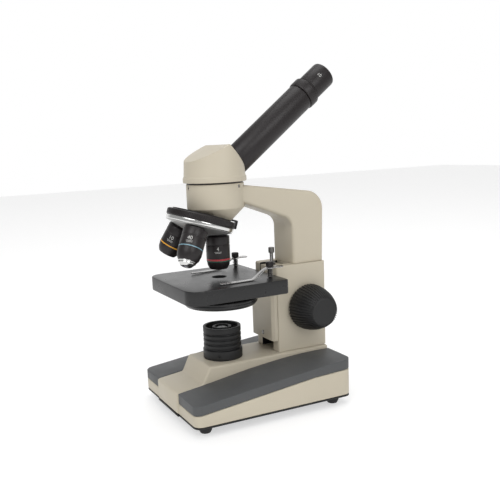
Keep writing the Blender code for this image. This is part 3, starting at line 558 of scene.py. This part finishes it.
def makeIlluminator():
    size = lampSize
    low, high, slim, half = size["low"], size["high"], size["slim"], size["groove"] / 2
    deep = slim - size["cut"]
    profile = [(size["bore"], low), (size["wide"], low), (size["wide"], size["step"])]
    for z in size["grooves"]:
        profile += [(slim, z - half - 0.3), (deep, z - half + 0.3), (deep, z + half - 0.3),
                    (slim, z + half + 0.3)]
    profile += [(slim, high), (16.2, high), (16.0, high - 3.6), (14.6, high - 3.6), (14.6, high - 4.4),
                (13.2, high - 4.4), (10.0, high - 4.8), (10.0, high - 8.0), (size["bore"], high - 8.0)]
    tube = turnedPiece("lamp_tube", profile, edge=0.35, segments=3)
    drill = rodPiece("screw_hole", 1.5, 10, 30)
    screwPlace = sideways(size["screwTurn"], low + 5)
    placeMesh(drill, screwPlace)
    cutWith(tube, drill)
    smooth(tube)
    finishPiece(tube, opticFrame, "stand", "black_plastic", "black", "illuminator_housing")
    screw = turnedPiece("lamp_set_screw", size["screw"], steps=24)
    finishPiece(screw, opticFrame @ screwPlace, "stand", "steel", "black")
    profile = [(9.6, high - 4.6), (9.6, high - 1.2), (8.6, high - 0.8), (7.2, high - 0.8), (6.6, high - 1.6),
               (6.6, high - 4.6)]
    ring = turnedPiece("lamp_lens_ring", profile, edge=0.25, segments=3)
    finishPiece(ring, opticFrame, "stand", "black_plastic", "black")
    profile = [(0, high - 1.5), (3.2, high - 1.7), (5.4, high - 2.3), (6.5, high - 3.0), (6.5, high - 4.6),
               (0, high - 4.6)]
    lens = turnedPiece("lamp_lens", profile, steps=64)
    finishPiece(lens, opticFrame, "stand", "glass", "frosted", "illuminator_lens")


armSize = {"pillarHalf": 22.5, "pillarFront": 52.0, "back": 108.8, "foot": 50.8, "joint": 138.5,
           "channelHalf": 11.6, "channelBack": 100.0, "channelTop": 133.0, "armHalf": 19.8, "armFront": 73.4,
           "bossRadius": 27.9, "bossLow": 200.2, "seam": 223.4, "taper": 16.0, "pillarEdge": 2.0,
           "armEdge": 3.4, "shaft": (87.0, 94.0), "shaftBore": 3.3, "screwHeight": 220.4, "screwHole": 1.9,
           "screwTurns": (-90, 30, 150)}


def makePillar():
    size = armSize
    front, joint, foot = size["pillarFront"], size["joint"], size["foot"]
    side = [(front, foot), (size["back"], foot), (size["back"], joint),
            *arcPoints((front + 1.5, joint - 1.5), 1.5, 90, 180, 5)]
    pillar = outlinePiece("pillar_casting", side, -size["pillarHalf"], size["pillarHalf"], "X")

    def onSideRim(a, b):
        flat = any(abs(a.z - level) < 0.1 and abs(b.z - level) < 0.1 for level in (foot, joint))
        return abs(a.x) > 20 and a.x * b.x > 0 and not flat

    selectEdges(pillar, onSideRim)
    bpy.ops.mesh.bevel(offset=size["pillarEdge"] * mm, segments=5, affect="EDGES")
    objectMode()
    half, top = size["channelHalf"], size["channelTop"]
    channel = [(40, 40), (size["channelBack"], 40), (size["channelBack"], top), (size["armFront"] - 1, top),
               (size["armFront"] - 1, 150), (40, 150)]
    cutWith(pillar, outlinePiece("channel", channel, -half, half, "X"))
    bore = rodPiece("shaft_bore", size["shaftBore"], -30, 30)
    placeMesh(bore, shift(0, *size["shaft"]) @ Matrix.Rotation(math.pi / 2, 4, "Y"))
    cutWith(pillar, bore)
    smooth(pillar)
    finishPiece(pillar, opticFrame, "stand", "cream_paint", "cream", "pillar")
    # the channel's faces inside the cream casting get the black finish: painted shade in the recess between the
    # cheeks
    pillar.data.materials.append(finishes["black"])  # for the channel's faces
    for face in pillar.data.polygons:
        x, y, z = (face.center - Vector((0, opticY, 0))) / mm
        if abs(x) < half + 0.1 and front + 0.5 < y < size["channelBack"] + 0.1 and z < top + 0.1:
            face.material_index = 1


def armOutline():
    size = armSize
    inner = arcPoints((size["armFront"] - 13.0, 174.5), 13.0, 0, 68, 12)
    crown = arcPoints((size["back"] + 1.5 - 19.0, 191.6), 19.0, 81, 0, 16)
    foot = size["joint"] + 0.3
    return [(size["back"], foot), (size["armFront"], foot), *inner, (20.0, 204.0), (0.0, 204.0),
            (0.0, size["seam"] - 1.5), (23.4, 220.6), *crown]


def makeUpperArm():
    size = armSize
    seam, low, radius, taper = size["seam"], size["bossLow"], size["bossRadius"], size["taper"]
    arm = outlinePiece("arm_casting", armOutline(), -size["armHalf"], size["armHalf"], "X")
    selectEdges(arm, lambda a, b: abs(a.x) > 19 and abs(b.x) > 19 and a.x * b.x > 0
                and not (abs(a.z - b.z) < 0.1 and a.z < size["joint"] + 1))
    bpy.ops.mesh.bevel(offset=size["armEdge"] * mm, segments=6, affect="EDGES")
    objectMode()
    profile = [(0, seam), (radius, seam), (radius, low), (radius - taper, low - taper), (0, low - taper)]
    boss = turnedPiece("boss", profile, edge=0.5, segments=3)
    plane = opticFrame.inverted() @ turretFrame @ Matrix.Translation((0, 0, 7.9 * mm))
    slicePiece(boss, plane.translation / mm, -plane.col[2].to_3d())
    cutWith(arm, boss, "UNION")
    recess = [(0, seam + 5), (21.0, seam + 5), (21.0, seam - 6), (16.5, seam - 6), (16.5, seam - 12),
              (9.0, seam - 12), (9.0, 150), (0, 150)]
    cutWith(arm, turnedPiece("recess", recess))
    for turn in size["screwTurns"]:
        hole = rodPiece("lock_hole", size["screwHole"], 15, 40)
        placeMesh(hole, sideways(turn, size["screwHeight"]))
        cutWith(arm, hole)
    smooth(arm)
    finishPiece(arm, opticFrame, "stand", "cream_paint", "cream", "upper_arm")


def makeLockScrews():
    radius = armSize["bossRadius"]
    profile = [(0, radius - 1.6), (0.8, radius - 1.6), (0.8, radius - 0.6), (1.6, radius - 0.6), (1.6, 21.5),
               (0, 21.5)]
    for i, turn in enumerate(armSize["screwTurns"]):
        screw = turnedPiece(f"lock_screw_{i + 1}", profile, steps=24, edge=0.1)
        finishPiece(screw, opticFrame @ sideways(turn, armSize["screwHeight"]),
                    "stand", "steel", "steel", f"head_lock_screw_{i + 1}")


stageSize = {"top": 131.8, "thick": 13.6, "half": 55.0, "front": -54.9, "back": 47.2,
             "corners": (14.0, 14.0, 4.0, 4.0), "edge": 0.9, "aperture": 7.0, "pocket": 12.5,
             "posts": (36.8, 36.5), "postHole": 1.9, "stopScrew": 59.5, "disc": (18.2, -8.4)}
stageFrame = opticFrame @ Matrix.Translation((0, 0, stageSize["top"] * mm))


def makeStagePlate():
    size = stageSize
    plan = roundedPlan((-size["half"], size["front"]), (size["half"], size["back"]), size["corners"], 14)
    plate = outlinePiece("stage_table", plan, -size["thick"], 0, "Z")
    roundEdges(plate, size["edge"], 4)
    radius = size["aperture"]
    bore = [(0, 3), (radius + 0.8, 3), (radius + 0.8, 0), (radius, -0.8), (radius, -20), (0, -20)]
    cutWith(plate, turnedPiece("aperture", bore))
    cutWith(plate, rodPiece("pocket", size["pocket"], -20, -3, quality["round"]))
    x, y = size["posts"]
    for side in (-1, 1):
        hole = rodPiece("post_hole", size["postHole"], -20, 10)
        placeMesh(hole, shift(side * x, y, 0))
        cutWith(plate, hole)
    smooth(plate)
    finishPiece(plate, stageFrame, "stage", "black_enamel", "enamel", "stage_plate")


bracketSize = {"edge": 0.7, "face": 45.7, "screwAt": (2.0, 5.5),
               "screw": [(0, 0.5), (1.9, 0.5), (2.3, 0.1), (2.3, -1.0), (0, -1.0)]}


def makeBracket():
    bracket = softenedCopy("stage_bracket", bracketSize["edge"], "bracket_casting")
    finishPiece(bracket, Matrix(), "stage", "cream_paint", "cream", "stage_bracket")
    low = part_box("stage_bracket")[0]
    screw = turnedPiece("bracket_screw", bracketSize["screw"], steps=quality["smallRound"], edge=0.15)
    cutWith(screw, boxPiece("slot", (-2.6, -0.35, -0.1), (2.6, 0.35, 1)))
    x, rise = bracketSize["screwAt"]
    place = Matrix.Translation((x * mm, opticY + bracketSize["face"] * mm, low.z + rise * mm))
    finishPiece(screw, place @ Matrix.Rotation(math.pi / 2, 4, "X"), "stage", "steel", "darkSteel")


clipSize = {"turns": {"left": 9.5, "right": 4.4}, "thick": 0.9, "lift": 9.4, "bendStart": -3.0,
            "bendEnd": -21.5, "rest": 0.4, "tip": -55.5}


def clipOutline():
    tip = clipSize["tip"]
    nose = arcPoints((0, tip + 1.6), 1.6, 180, 360, 8)
    eye = arcPoints((0, 0), 4.3, -55, 50, 8)
    tabTurns = [math.radians(-58 + 296 * i / 20) for i in range(21)]
    tab = [(4.9 * math.cos(t), 10.4 + 4.4 * math.sin(t)) for t in tabTurns]
    eyeLeft = [(-x, y) for x, y in reversed(eye)]
    edge = [(2.4, -40), (3.0, -22), (2.6, -8)]
    return [*nose, *edge, *eye, *tab, *eyeLeft, *[(-x, y) for x, y in reversed(edge)]]


def clipHeight(y):
    size = clipSize
    share = min(1.0, max(0.0, (y - size["bendEnd"]) / (size["bendStart"] - size["bendEnd"])))
    lift = size["rest"] + (size["lift"] - size["rest"]) * share * share * (3 - 2 * share)
    upturn = max(0.0, size["tip"] + 5.0 - y) * 0.15
    return lift + upturn


def makeClips():
    size = clipSize
    x, y = stageSize["posts"]
    for name, side in (("left", -1), ("right", 1)):
        strip = outlinePiece(f"clip_strip_{name}", clipOutline(), 0, size["thick"], "Z")
        roundEdges(strip, 0.2, 2)
        crossCuts(strip, (0, 1, 0), [-2.4 - 0.67 * i for i in range(30)])
        cutWith(strip, rodPiece("eye", stageSize["postHole"], -5, 5))
        for point in strip.data.vertices:
            point.co.z += clipHeight(point.co.y / mm) * mm
        smooth(strip)
        place = stageFrame @ shift(side * x, y, 0)
        finishPiece(strip, place @ Matrix.Rotation(math.radians(size["turns"][name]), 4, "Z"),
                    f"{name}_clip", "steel", "steel", f"stage_clip_{name}")
        makeClipPost(name, place)
        makeClipSpring(name, place)


def knurl(piece, count, radius, low, high, depth):
    # every other column of side faces stands proud
    sector = 2 * math.pi / count

    def onRib(middle, normal):
        if not (low < middle.z < high and abs(normal.z) < 0.75 and middle.xy.length > radius):
            return False
        return (math.atan2(middle.y, middle.x) % sector) < sector / 2

    raiseFaces(piece, onRib, depth)


postSize = {"ribs": 30, "rib": 0.25, "grip": (11.1, 15.3), "profile": [(0, 15.8), (3.0, 15.8), (3.5, 15.3),
            (3.5, 11.1), (3.1, 10.7), (1.6, 10.7), (1.6, -9), (0, -9)]}


def makeClipPost(name, place):
    post = turnedPiece(f"clip_pin_{name}", postSize["profile"], steps=postSize["ribs"] * 2)
    knurl(post, postSize["ribs"], 3.3, *postSize["grip"], postSize["rib"])
    smooth(post, 25)
    finishPiece(post, place, "stage", "black_lacquer", "lacquer", f"clip_post_{name}")


springSize = {"wire": 0.38, "radius": 2.6, "turns": 5, "steps": 20, "foot": 0.6, "tall": 8.2}


def makeClipSpring(name, place):
    size = springSize
    curve = bpy.data.curves.new(f"clip_coil_{name}", "CURVE")
    curve.dimensions = "3D"
    curve.bevel_depth = size["wire"] * mm
    curve.bevel_resolution = 2
    curve.use_fill_caps = True
    line = curve.splines.new("POLY")
    count, radius = size["turns"] * size["steps"], size["radius"] * mm
    line.points.add(count)
    for i, point in enumerate(line.points):
        angle = 2 * math.pi * i / size["steps"]
        height = size["foot"] + size["tall"] * i / count
        point.co = (radius * math.cos(angle), radius * math.sin(angle), height * mm, 1)
    coil = bpy.data.objects.new(f"clip_coil_{name}", curve)
    bpy.context.scene.collection.objects.link(coil)
    makeActive(coil)
    bpy.ops.object.convert(target="MESH")
    coil = bpy.context.object
    smooth(coil, 60)
    finishPiece(coil, place, "stage", "steel", "darkSteel", f"clip_spring_{name}")


stopSize = {"head": [(0, 23.2), (2.4, 23.2), (2.75, 22.8), (2.75, 17.8), (2.3, 17.4), (1.9, 17.2)],
            "ribs": 24, "rib": 0.22, "grip": (17.8, 22.8), "crest": 1.9, "root": 1.65, "pitch": 0.75,
            "threadTop": 17.0, "threads": 35, "nutRadius": 4.3, "nutHigh": 3.0, "nutBore": 2.2,
            "nutFoot": 4.75}


def makeStopScrew():
    size = stopSize
    profile = list(size["head"])
    for i in range(size["threads"]):
        z = size["threadTop"] - size["pitch"] * i
        profile += [(size["crest"], z - 0.25), (size["root"], z - 0.5)]
    profile += [(0, size["threadTop"] - size["pitch"] * size["threads"])]
    screw = turnedPiece("stop_screw", profile, steps=size["ribs"] * 2)
    knurl(screw, size["ribs"], 2.6, *size["grip"], size["rib"])
    smooth(screw, 25)
    place = stageFrame @ shift(0, stageSize["stopScrew"], 0)
    finishPiece(screw, place, "stop_screw", "steel", "darkSteel", "stage_stop_screw")
    nut = rodPiece("stop_screw_nut", size["nutRadius"], 0, size["nutHigh"], 6)
    roundEdges(nut, 0.35, 2)
    cutWith(nut, rodPiece("nut_bore", size["nutBore"], -5, 10))
    smooth(nut, 25)
    finishPiece(nut, place @ shift(0, 0, size["nutFoot"]), "stage", "steel", "darkSteel")


discSize = {"web": -15.3, "rim": -22.2, "radius": 35.7, "stops": (6.5, 5.2, 4.0, 3.0, 2.2, 1.4)}


def makeDiaphragm():
    web, rim, radius = discSize["web"], discSize["rim"], discSize["radius"]
    profile = [(2.3, web), (radius - 0.8, web), (radius, web - 0.8), (radius, web - 2.2),
               (radius - 0.5, web - 2.5), (radius, web - 2.8), (radius, rim + 2.5), (radius - 2, rim),
               (radius - 3.5, rim), (radius - 3.5, web - 2), (2.3, web - 2)]
    disc = turnedPiece("diaphragm_dish", profile, steps=128, edge=0.25)
    x, y = stageSize["disc"]
    reach, first = math.hypot(x, y), math.atan2(-y, -x)  # the largest stop lies on the optical axis
    for i, stop in enumerate(discSize["stops"]):
        turn = first + 2 * math.pi * i / len(discSize["stops"])
        hole = rodPiece("stop_hole", stop, -30, 0)
        placeMesh(hole, shift(reach * math.cos(turn), reach * math.sin(turn), 0))
        cutWith(disc, hole)
    smooth(disc)
    finishPiece(disc, stageFrame @ shift(x, y, 0), "diaphragm", "black_enamel", "enamel", "diaphragm_disc")


knobSize = {"ribs": 44, "rib": 0.85, "grip": (24.7, 53.6), "edge": 0.22,
            "profile": [(0, 53.6), (12.6, 53.6), (13.0, 54.0), (13.7, 53.7), (16.9, 48.3), (19.8, 41.4),
                        (21.5, 34.4), (22.4, 28.4), (22.4, 24.6), (21.8, 23.4), (3.3, 23.4), (3.3, 46.3),
                        (0, 46.3)]}


def makeKnobs():
    size = knobSize
    focus = Matrix.Translation(joints["focus_turn"]["pos_m"])
    for name, turn in (("left", -math.pi / 2), ("right", math.pi / 2)):
        knob = turnedPiece(f"knob_{name}", size["profile"], steps=size["ribs"] * 4)
        knurl(knob, size["ribs"], 13.4, *size["grip"], size["rib"])
        roundEdges(knob, size["edge"], 2, 40)
        smooth(knob, 45)
        finishPiece(knob, focus @ Matrix.Rotation(turn, 4, "Y"),
                    "focus", "black_plastic", "black", f"focus_knob_{name}")


turretJoint = joints["nosepiece_turn"]
tilt = math.atan2(turretJoint["axis"][1], turretJoint["axis"][2])
turretFrame = Matrix.Translation(turretJoint["pos_m"]) @ Matrix.Rotation(-tilt, 4, "X")
turretSize = {"radius": 33.5, "rim": (32.4, -4.4), "hub": 6.0, "pivot": 3.3, "seat": 8.0, "ribs": 120,
              "rib": 0.22}
# how each objective differs; bands run from a low edge over a height below the shoulder
objectives = {"4x": {"turn": 0, "length": 33.4, "number": "4", "facing": -25, "mouth": 6.0, "tip": 8.6,
                     "bands": {"band_4x": ("redBand", -24.6, 1.7),
                               "band_4x_lower": ("greenBand", -25.5, 0.6)}},
              "40x": {"turn": -120, "length": 33.0, "number": "40", "facing": -40, "mouth": 5.5, "tip": 8.4,
                      "bands": {"band_40x": ("blueBand", -20.4, 0.8)}},
              "10x": {"turn": 120, "length": 30.9, "number": "10", "facing": -40, "mouth": 6.0, "tip": 8.6,
                      "bands": {"band_10x": ("yellowBand", -21.6, 1.1)}}}


def objectiveFrame(name):
    # the upright objective's shoulder, turned round the nosepiece's axis to the others' places
    low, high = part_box("objective_4x")
    upright = Matrix.Translation((0, opticY, high.z - 5 * mm))
    turn = Matrix.Rotation(math.radians(objectives[name]["turn"]), 4, "Z")
    return turretFrame @ turn @ turretFrame.inverted() @ upright


def makeTurret():
    size = turretSize
    radius, hub, pivot = size["radius"], size["hub"], size["pivot"]
    low = size["rim"][1] - (size["rim"][0] - hub) * math.tan(tilt)
    plate = radius - 0.2
    cone = [(pivot, 2.6), (28.8, 2.6), (28.8, -0.2), (plate - 1.2, -0.2), (plate - 1.2, -3.8), size["rim"],
            (hub, low), (pivot, low)]
    body = turnedPiece("turret_cone", cone, steps=128, edge=0.3)
    for name in objectives:
        drill = rodPiece("seat", size["seat"], -6, 30, 64)
        placeMesh(drill, turretFrame.inverted() @ objectiveFrame(name))
        cutWith(body, drill)
    smooth(body)
    finishPiece(body, turretFrame, "nosepiece", "chrome_plate", "casting", "turret")
    skirt = [(plate - 1.1, -0.15), (plate, -0.15), (plate + 0.15, -0.9), (plate, -3.2), (plate - 0.7, -4.0),
             (plate - 1.1, -4.0)]
    ring = turnedPiece("turret_skirt", skirt, steps=160, edge=0.2, segments=3)
    finishPiece(ring, turretFrame, "nosepiece", "chrome_plate", "chrome")
    grip = [(29.1, 6.5), (radius - 1.2, 6.5), (radius - 0.25, 5.6), (radius - 0.25, 0.9), (radius - 0.7, 0.1),
            (29.1, 0.1)]
    band = turnedPiece("turret_band", grip, steps=size["ribs"] * 2)
    knurl(band, size["ribs"], radius - 0.5, 1.0, 5.5, size["rib"])
    smooth(band, 25)
    finishPiece(band, turretFrame, "nosepiece", "black_lacquer", "lacquer", "turret_grip")


clickSize = {"half": 4.5, "edge": 0.45, "turn": -14,
             "side": [(26.0, 7.8), (33.9, 7.8), (33.9, 0.8), (35.4, 0.8), (35.4, 8.6), (34.6, 9.4),
                      (26.0, 9.4)]}


def makeClickStop():
    # the bent cover of the nosepiece's click spring
    block = outlinePiece("click_stop", clickSize["side"], -clickSize["half"], clickSize["half"], "X")
    roundEdges(block, clickSize["edge"])
    smooth(block)
    finishPiece(block, turretFrame @ Matrix.Rotation(math.radians(clickSize["turn"]), 4, "Z"),
                "stand", "black_lacquer", "lacquer")


def bendRound(piece, radius, facing, rise):
    # lays a flat piece round a barrel, its middle at the facing angle
    for point in piece.data.vertices:
        angle = facing + point.co.x / (radius * mm)
        reach = radius * mm + point.co.z
        point.co = (reach * math.cos(angle), reach * math.sin(angle), point.co.y + rise * mm)


def wrapText(name, words, height, radius, rise, facing):
    deselectAll()
    bpy.ops.object.text_add()
    text = bpy.context.object
    text.name = name
    text.data.body = words
    text.data.size = height * mm
    text.data.align_x = "CENTER"
    text.data.extrude = 0.04 * mm
    bpy.ops.object.convert(target="MESH")
    text = bpy.context.object
    editMode(text)
    mergeDoubles(quality["weld"])
    objectMode()
    bendRound(text, radius, facing, rise)
    return text


markSize = {"height": 5.0, "rise": -14.5, "proud": 0.02, "rules": [(3.4, -15.8), (3.0, -16.9)],
            "ruleHalf": 0.16, "ruleThick": 0.06}


def markBarrel(name, words, radius, place, facing):
    # a figure with two plain rules under it
    size = markSize
    text = wrapText(f"{name}_number", words, size["height"], radius, size["rise"], facing)
    finishPiece(text, place, "nosepiece", "black_lacquer", "marking")
    for i, (half, rise) in enumerate(size["rules"]):
        corner = Vector((half, size["ruleHalf"], size["ruleThick"]))
        rule = boxPiece(f"{name}_rule_{i + 1}", -corner, corner)
        crossCuts(rule, (1, 0, 0), [step * half / 4 for step in range(-3, 4)])
        bendRound(rule, radius, facing, rise)
        finishPiece(rule, place, "nosepiece", "black_lacquer", "marking")


barrelSize = {"radius": 11.7, "neck": 7.6, "bore": 6.0, "top": 5.0, "groove": 0.25, "paint": 0.05}


def makeObjectives():
    wide, neck, bore, top, groove, paint = barrelSize.values()
    for name, kind in objectives.items():
        place = objectiveFrame(name)
        low, mouth, tip = -kind["length"], kind["mouth"], kind["tip"]
        profile = [(neck, top), (neck, -0.6), (9.6, -0.6), (10.2, -1.0), (wide, -1.6), (wide, -9.0),
                   (wide - groove, -9.2), (wide - groove, -9.7), (wide, -9.9), (wide, low + 8),
                   (wide - 0.45, low + 6.5), (wide - 1.0, low + 3.6), (tip + 0.5, low + 0.9), (tip, low),
                   (mouth + 2.0, low), (mouth + 1.9, low + 1.2), (mouth + 1.9, low + 9), (bore, low + 9),
                   (bore, top)]
        barrel = turnedPiece(f"barrel_{name}", profile, edge=0.2)
        finishPiece(barrel, place, "nosepiece", "black_lacquer", "lacquer", f"objective_{name}")
        for ring, (finish, foot, tall) in kind["bands"].items():
            head = foot + tall
            shape = [(wide - 0.6, foot), (wide + paint, foot), (wide + paint, head), (wide - 0.6, head)]
            band = turnedPiece(ring, shape)
            finishPiece(band, place, "nosepiece", "black_lacquer", finish)
        facing = math.radians(kind["facing"] - kind["turn"])
        markBarrel(f"mark_{name}", kind["number"], wide + markSize["proud"], place, facing)


noseSize = {"tip": -37.5,
            "rim": [(7.45, 0.2), (8.5, 0.2), (8.5, -0.3), (8.2, -0.7), (7.7, -0.8), (7.45, -0.6)],
            "profile": [(5.2, 10.5), (7.1, 10.5), (7.1, 2.6), (6.8, 2.2), (5.4, 0.5), (4.4, 0), (2.4, 0),
                        (2.2, 0.4), (4.9, 1.2), (5.2, 2.0)]}


def makeSprungNose():
    profile = [(radius, noseSize["tip"] + z) for radius, z in noseSize["profile"]]
    rim = [(radius, z - objectives["40x"]["length"]) for radius, z in noseSize["rim"]]
    ring = turnedPiece("nose_rim", rim, edge=0.1)
    finishPiece(ring, objectiveFrame("40x"), "nosepiece", "chrome_plate", "chrome")
    nose = turnedPiece("sprung_nose", profile, edge=0.12)
    finishPiece(nose, objectiveFrame("40x"), "sprung_nose", "chrome_plate", "chrome", "objective_40x_nose")


headSize = {"radius": 29.6, "flange": 30.6, "low": 224.9, "flangeTop": 229.4, "blockTop": 263.2,
            "ridge": (4.7, 259.6), "frontTop": 244.3, "topRadius": 27.6, "rearFall": math.radians(46),
            "edge": 1.6, "tubeHole": 14.3, "well": (14.0, 213.4, 238.4)}
tubeFrame = opticFrame @ shift(0, 0, headSize["low"]) @ Matrix.Rotation(-tubeTurn, 4, "X")


def makeHead():
    size = headSize
    radius, low, top, flangeTop = size["radius"], size["low"], size["blockTop"], size["flangeTop"]
    profile = [(0, top), (size["topRadius"], top), (radius, flangeTop + 1.6), (radius + 0.3, flangeTop + 0.8),
               (size["flange"], flangeTop), (size["flange"], low), (0, low)]
    head = turnedPiece("head_casting", profile, steps=128)
    ridge, fall = (0, *size["ridge"]), size["rearFall"]
    slicePiece(head, ridge, (0, size["frontTop"] - ridge[2], ridge[1] + radius))
    slicePiece(head, ridge, (0, math.sin(fall), math.cos(fall)))
    roundEdges(head, size["edge"], 4, 20)
    hole = rodPiece("tube_hole", size["tubeHole"], tubeSize["start"] - 1, 80, quality["round"])
    placeMesh(hole, opticFrame.inverted() @ tubeFrame)
    cutWith(head, hole)
    cutWith(head, rodPiece("prism_well", *size["well"], quality["round"]))
    smooth(head)
    finishPiece(head, opticFrame, "head", "cream_paint", "cream", "head_housing")


tubeSize = {"bore": 11.65, "radius": 14.0, "start": 22.0, "collar": (125.5, 135.3), "collarProud": 1.0}


def makeTube():
    size = tubeSize
    bore, radius, (low, high) = size["bore"], size["radius"], size["collar"]
    profile = [(bore, low - 0.5), (radius - 0.1, low - 0.5), (radius, low - 0.9), (radius, size["start"]),
               (bore, size["start"])]
    tube = turnedPiece("tube_body", profile, edge=0.15)
    finishPiece(tube, tubeFrame, "head", "black_lacquer", "tube", "eyepiece_tube")
    wide = radius + size["collarProud"]
    ring = [(bore, high), (wide - 0.6, high), (wide - 0.1, high - 0.5), (wide, high - 1.2), (wide, low + 1.2),
            (wide - 0.25, low + 0.3), (wide - 0.9, low), (bore, low)]
    collar = turnedPiece("tube_end_ring", ring, edge=0.15)
    finishPiece(collar, tubeFrame, "head", "black_lacquer", "tube", "tube_collar")


eyepieceSize = {"wide": 13.1, "end": 161.3, "shoulder": 135.6, "plug": 11.35, "plugEnd": 97.0, "inside": 9.6,
                "window": 8.5, "number": "10", "numberHigh": 4.6, "facing": -28}


def makeEyepiece():
    size = eyepieceSize
    end, shoulder, wide, plug = size["end"], size["shoulder"], size["wide"], size["plug"]
    inside, window, foot = size["inside"], size["window"], size["plugEnd"]
    profile = [(window, end - 0.5), (9.2, end - 0.1), (10.4, end), (11.9, end - 0.1), (12.7, end - 0.8),
               (wide, end - 2.0), (wide, shoulder + 1.6), (wide - 0.3, shoulder + 1.3),
               (wide - 0.3, shoulder + 0.8), (wide, shoulder + 0.5), (wide, shoulder), (plug, shoulder),
               (plug, foot), (inside, foot), (inside, end - 7), (window, end - 7)]
    body = turnedPiece("eyepiece_barrel", profile, edge=0.12)
    finishPiece(body, tubeFrame, "eyepiece", "black_plastic", "tube", "eyepiece_body")
    radius, facing = wide + markSize["proud"], math.radians(size["facing"])
    text = wrapText("eyepiece_number", size["number"], size["numberHigh"], radius, 0.0, facing)
    finishPiece(text, tubeFrame @ shift(0, 0, end - 13), "eyepiece", "black_plastic", "marking")


shot = {"target": (0.0, opticY, 0.1306), "azimuth": 65.14, "elevation": 10.97, "roll": -2.78,
        "distance": 0.67448, "lens": 49.23, "sensor": 36.0, "shift": (0.0612, 0.0557)}


def makeCamera():
    azimuth, elevation, roll = [math.radians(shot[key]) for key in ("azimuth", "elevation", "roll")]
    level = math.cos(elevation)
    back = Vector((math.sin(azimuth) * level, -math.cos(azimuth) * level, math.sin(elevation)))
    right = (-back).cross(Vector((0, 0, 1))).normalized()
    up = right.cross(-back)
    right, up = (math.cos(roll) * right + math.sin(roll) * up, -math.sin(roll) * right + math.cos(roll) * up)
    data = bpy.data.cameras.new("camera")
    data.lens, data.sensor_width = shot["lens"], shot["sensor"]
    data.shift_x, data.shift_y = shot["shift"]
    data.clip_start = 0.01
    camera = bpy.data.objects.new("camera", data)
    bpy.context.scene.collection.objects.link(camera)
    matrix = Matrix((right, up, back)).transposed().to_4x4()
    matrix.translation = Vector(shot["target"]) + back * shot["distance"]
    camera.matrix_world = matrix
    bpy.context.scene.camera = camera


lamps = {"key": {"place": (0.9, -1.4, 1.7), "size": 1.5, "power": 19.0},
         "side": {"place": (1.9, 0.2, 1.2), "size": 1.2, "power": 12.0},
         "top": {"place": (-0.2, 0.3, 2.2), "size": 1.6, "power": 14.0}}
# the wall behind the object is white and the rest of the room darker; each pair is a place and a level
studio = {"toward": (-0.907, 0.421, 0.0), "room": (0.45, 0.40), "wall": (0.80, 1.0), "floorGlow": 0.55,
          "floorSize": 8.0, "floorDrop": 0.0003}


def makeFloor():
    deselectAll()
    bpy.ops.mesh.primitive_grid_add(x_subdivisions=8, y_subdivisions=8, size=studio["floorSize"],
                                    location=(0, 0, -studio["floorDrop"]))
    floor = bpy.context.object
    floor.name = "floor"
    floor.data.materials.append(finishes["floor"])
    glow = finishes["floor"].node_tree.nodes["Principled BSDF"]
    glow.inputs["Emission Color"].default_value = (1, 1, 1, 1)
    glow.inputs["Emission Strength"].default_value = studio["floorGlow"]


def makeLamps():
    for name, lamp in lamps.items():
        data = bpy.data.lights.new(name, "AREA")
        data.shape = "DISK"
        data.size = lamp["size"]
        data.energy = lamp["power"]
        light = bpy.data.objects.new(name, data)
        bpy.context.scene.collection.objects.link(light)
        light.location = lamp["place"]
        aim = Vector(shot["target"]) - light.location
        light.rotation_euler = aim.to_track_quat("-Z", "Y").to_euler()


def makeRoom():
    world = bpy.data.worlds.new("studio")
    bpy.context.scene.world = world
    world.use_nodes = True
    tree = world.node_tree
    place = tree.nodes.new("ShaderNodeTexCoord")
    toward = tree.nodes.new("ShaderNodeVectorMath")
    toward.operation = "DOT_PRODUCT"
    toward.inputs[1].default_value = studio["toward"]
    ramp = tree.nodes.new("ShaderNodeValToRGB")
    for element, (at, level) in zip(ramp.color_ramp.elements, (studio["room"], studio["wall"])):
        element.position = at
        element.color = (level, level, level, 1)
    tree.links.new(place.outputs["Generated"], toward.inputs[0])
    tree.links.new(toward.outputs["Value"], ramp.inputs["Fac"])
    tree.links.new(ramp.outputs["Color"], tree.nodes["Background"].inputs["Color"])
    bpy.context.scene.view_settings.view_transform = "Standard"


makeCamera()
makeFloor()
makeLamps()
makeRoom()
print("studio done")
dressFrame()
makeBaseHousing()
makeSideCovers()
makeBottomPlate()
makeFeet()
makeRearFittings()
makeIlluminator()
print("base done")
makePillar()
makeUpperArm()
makeLockScrews()
print("arm done")
makeStagePlate()
makeBracket()
makeClips()
makeStopScrew()
makeDiaphragm()
print("stage done")
makeKnobs()
makeTurret()
makeClickStop()
makeObjectives()
makeSprungNose()
print("nosepiece done")
makeHead()
makeTube()
makeEyepiece()
print("head done")
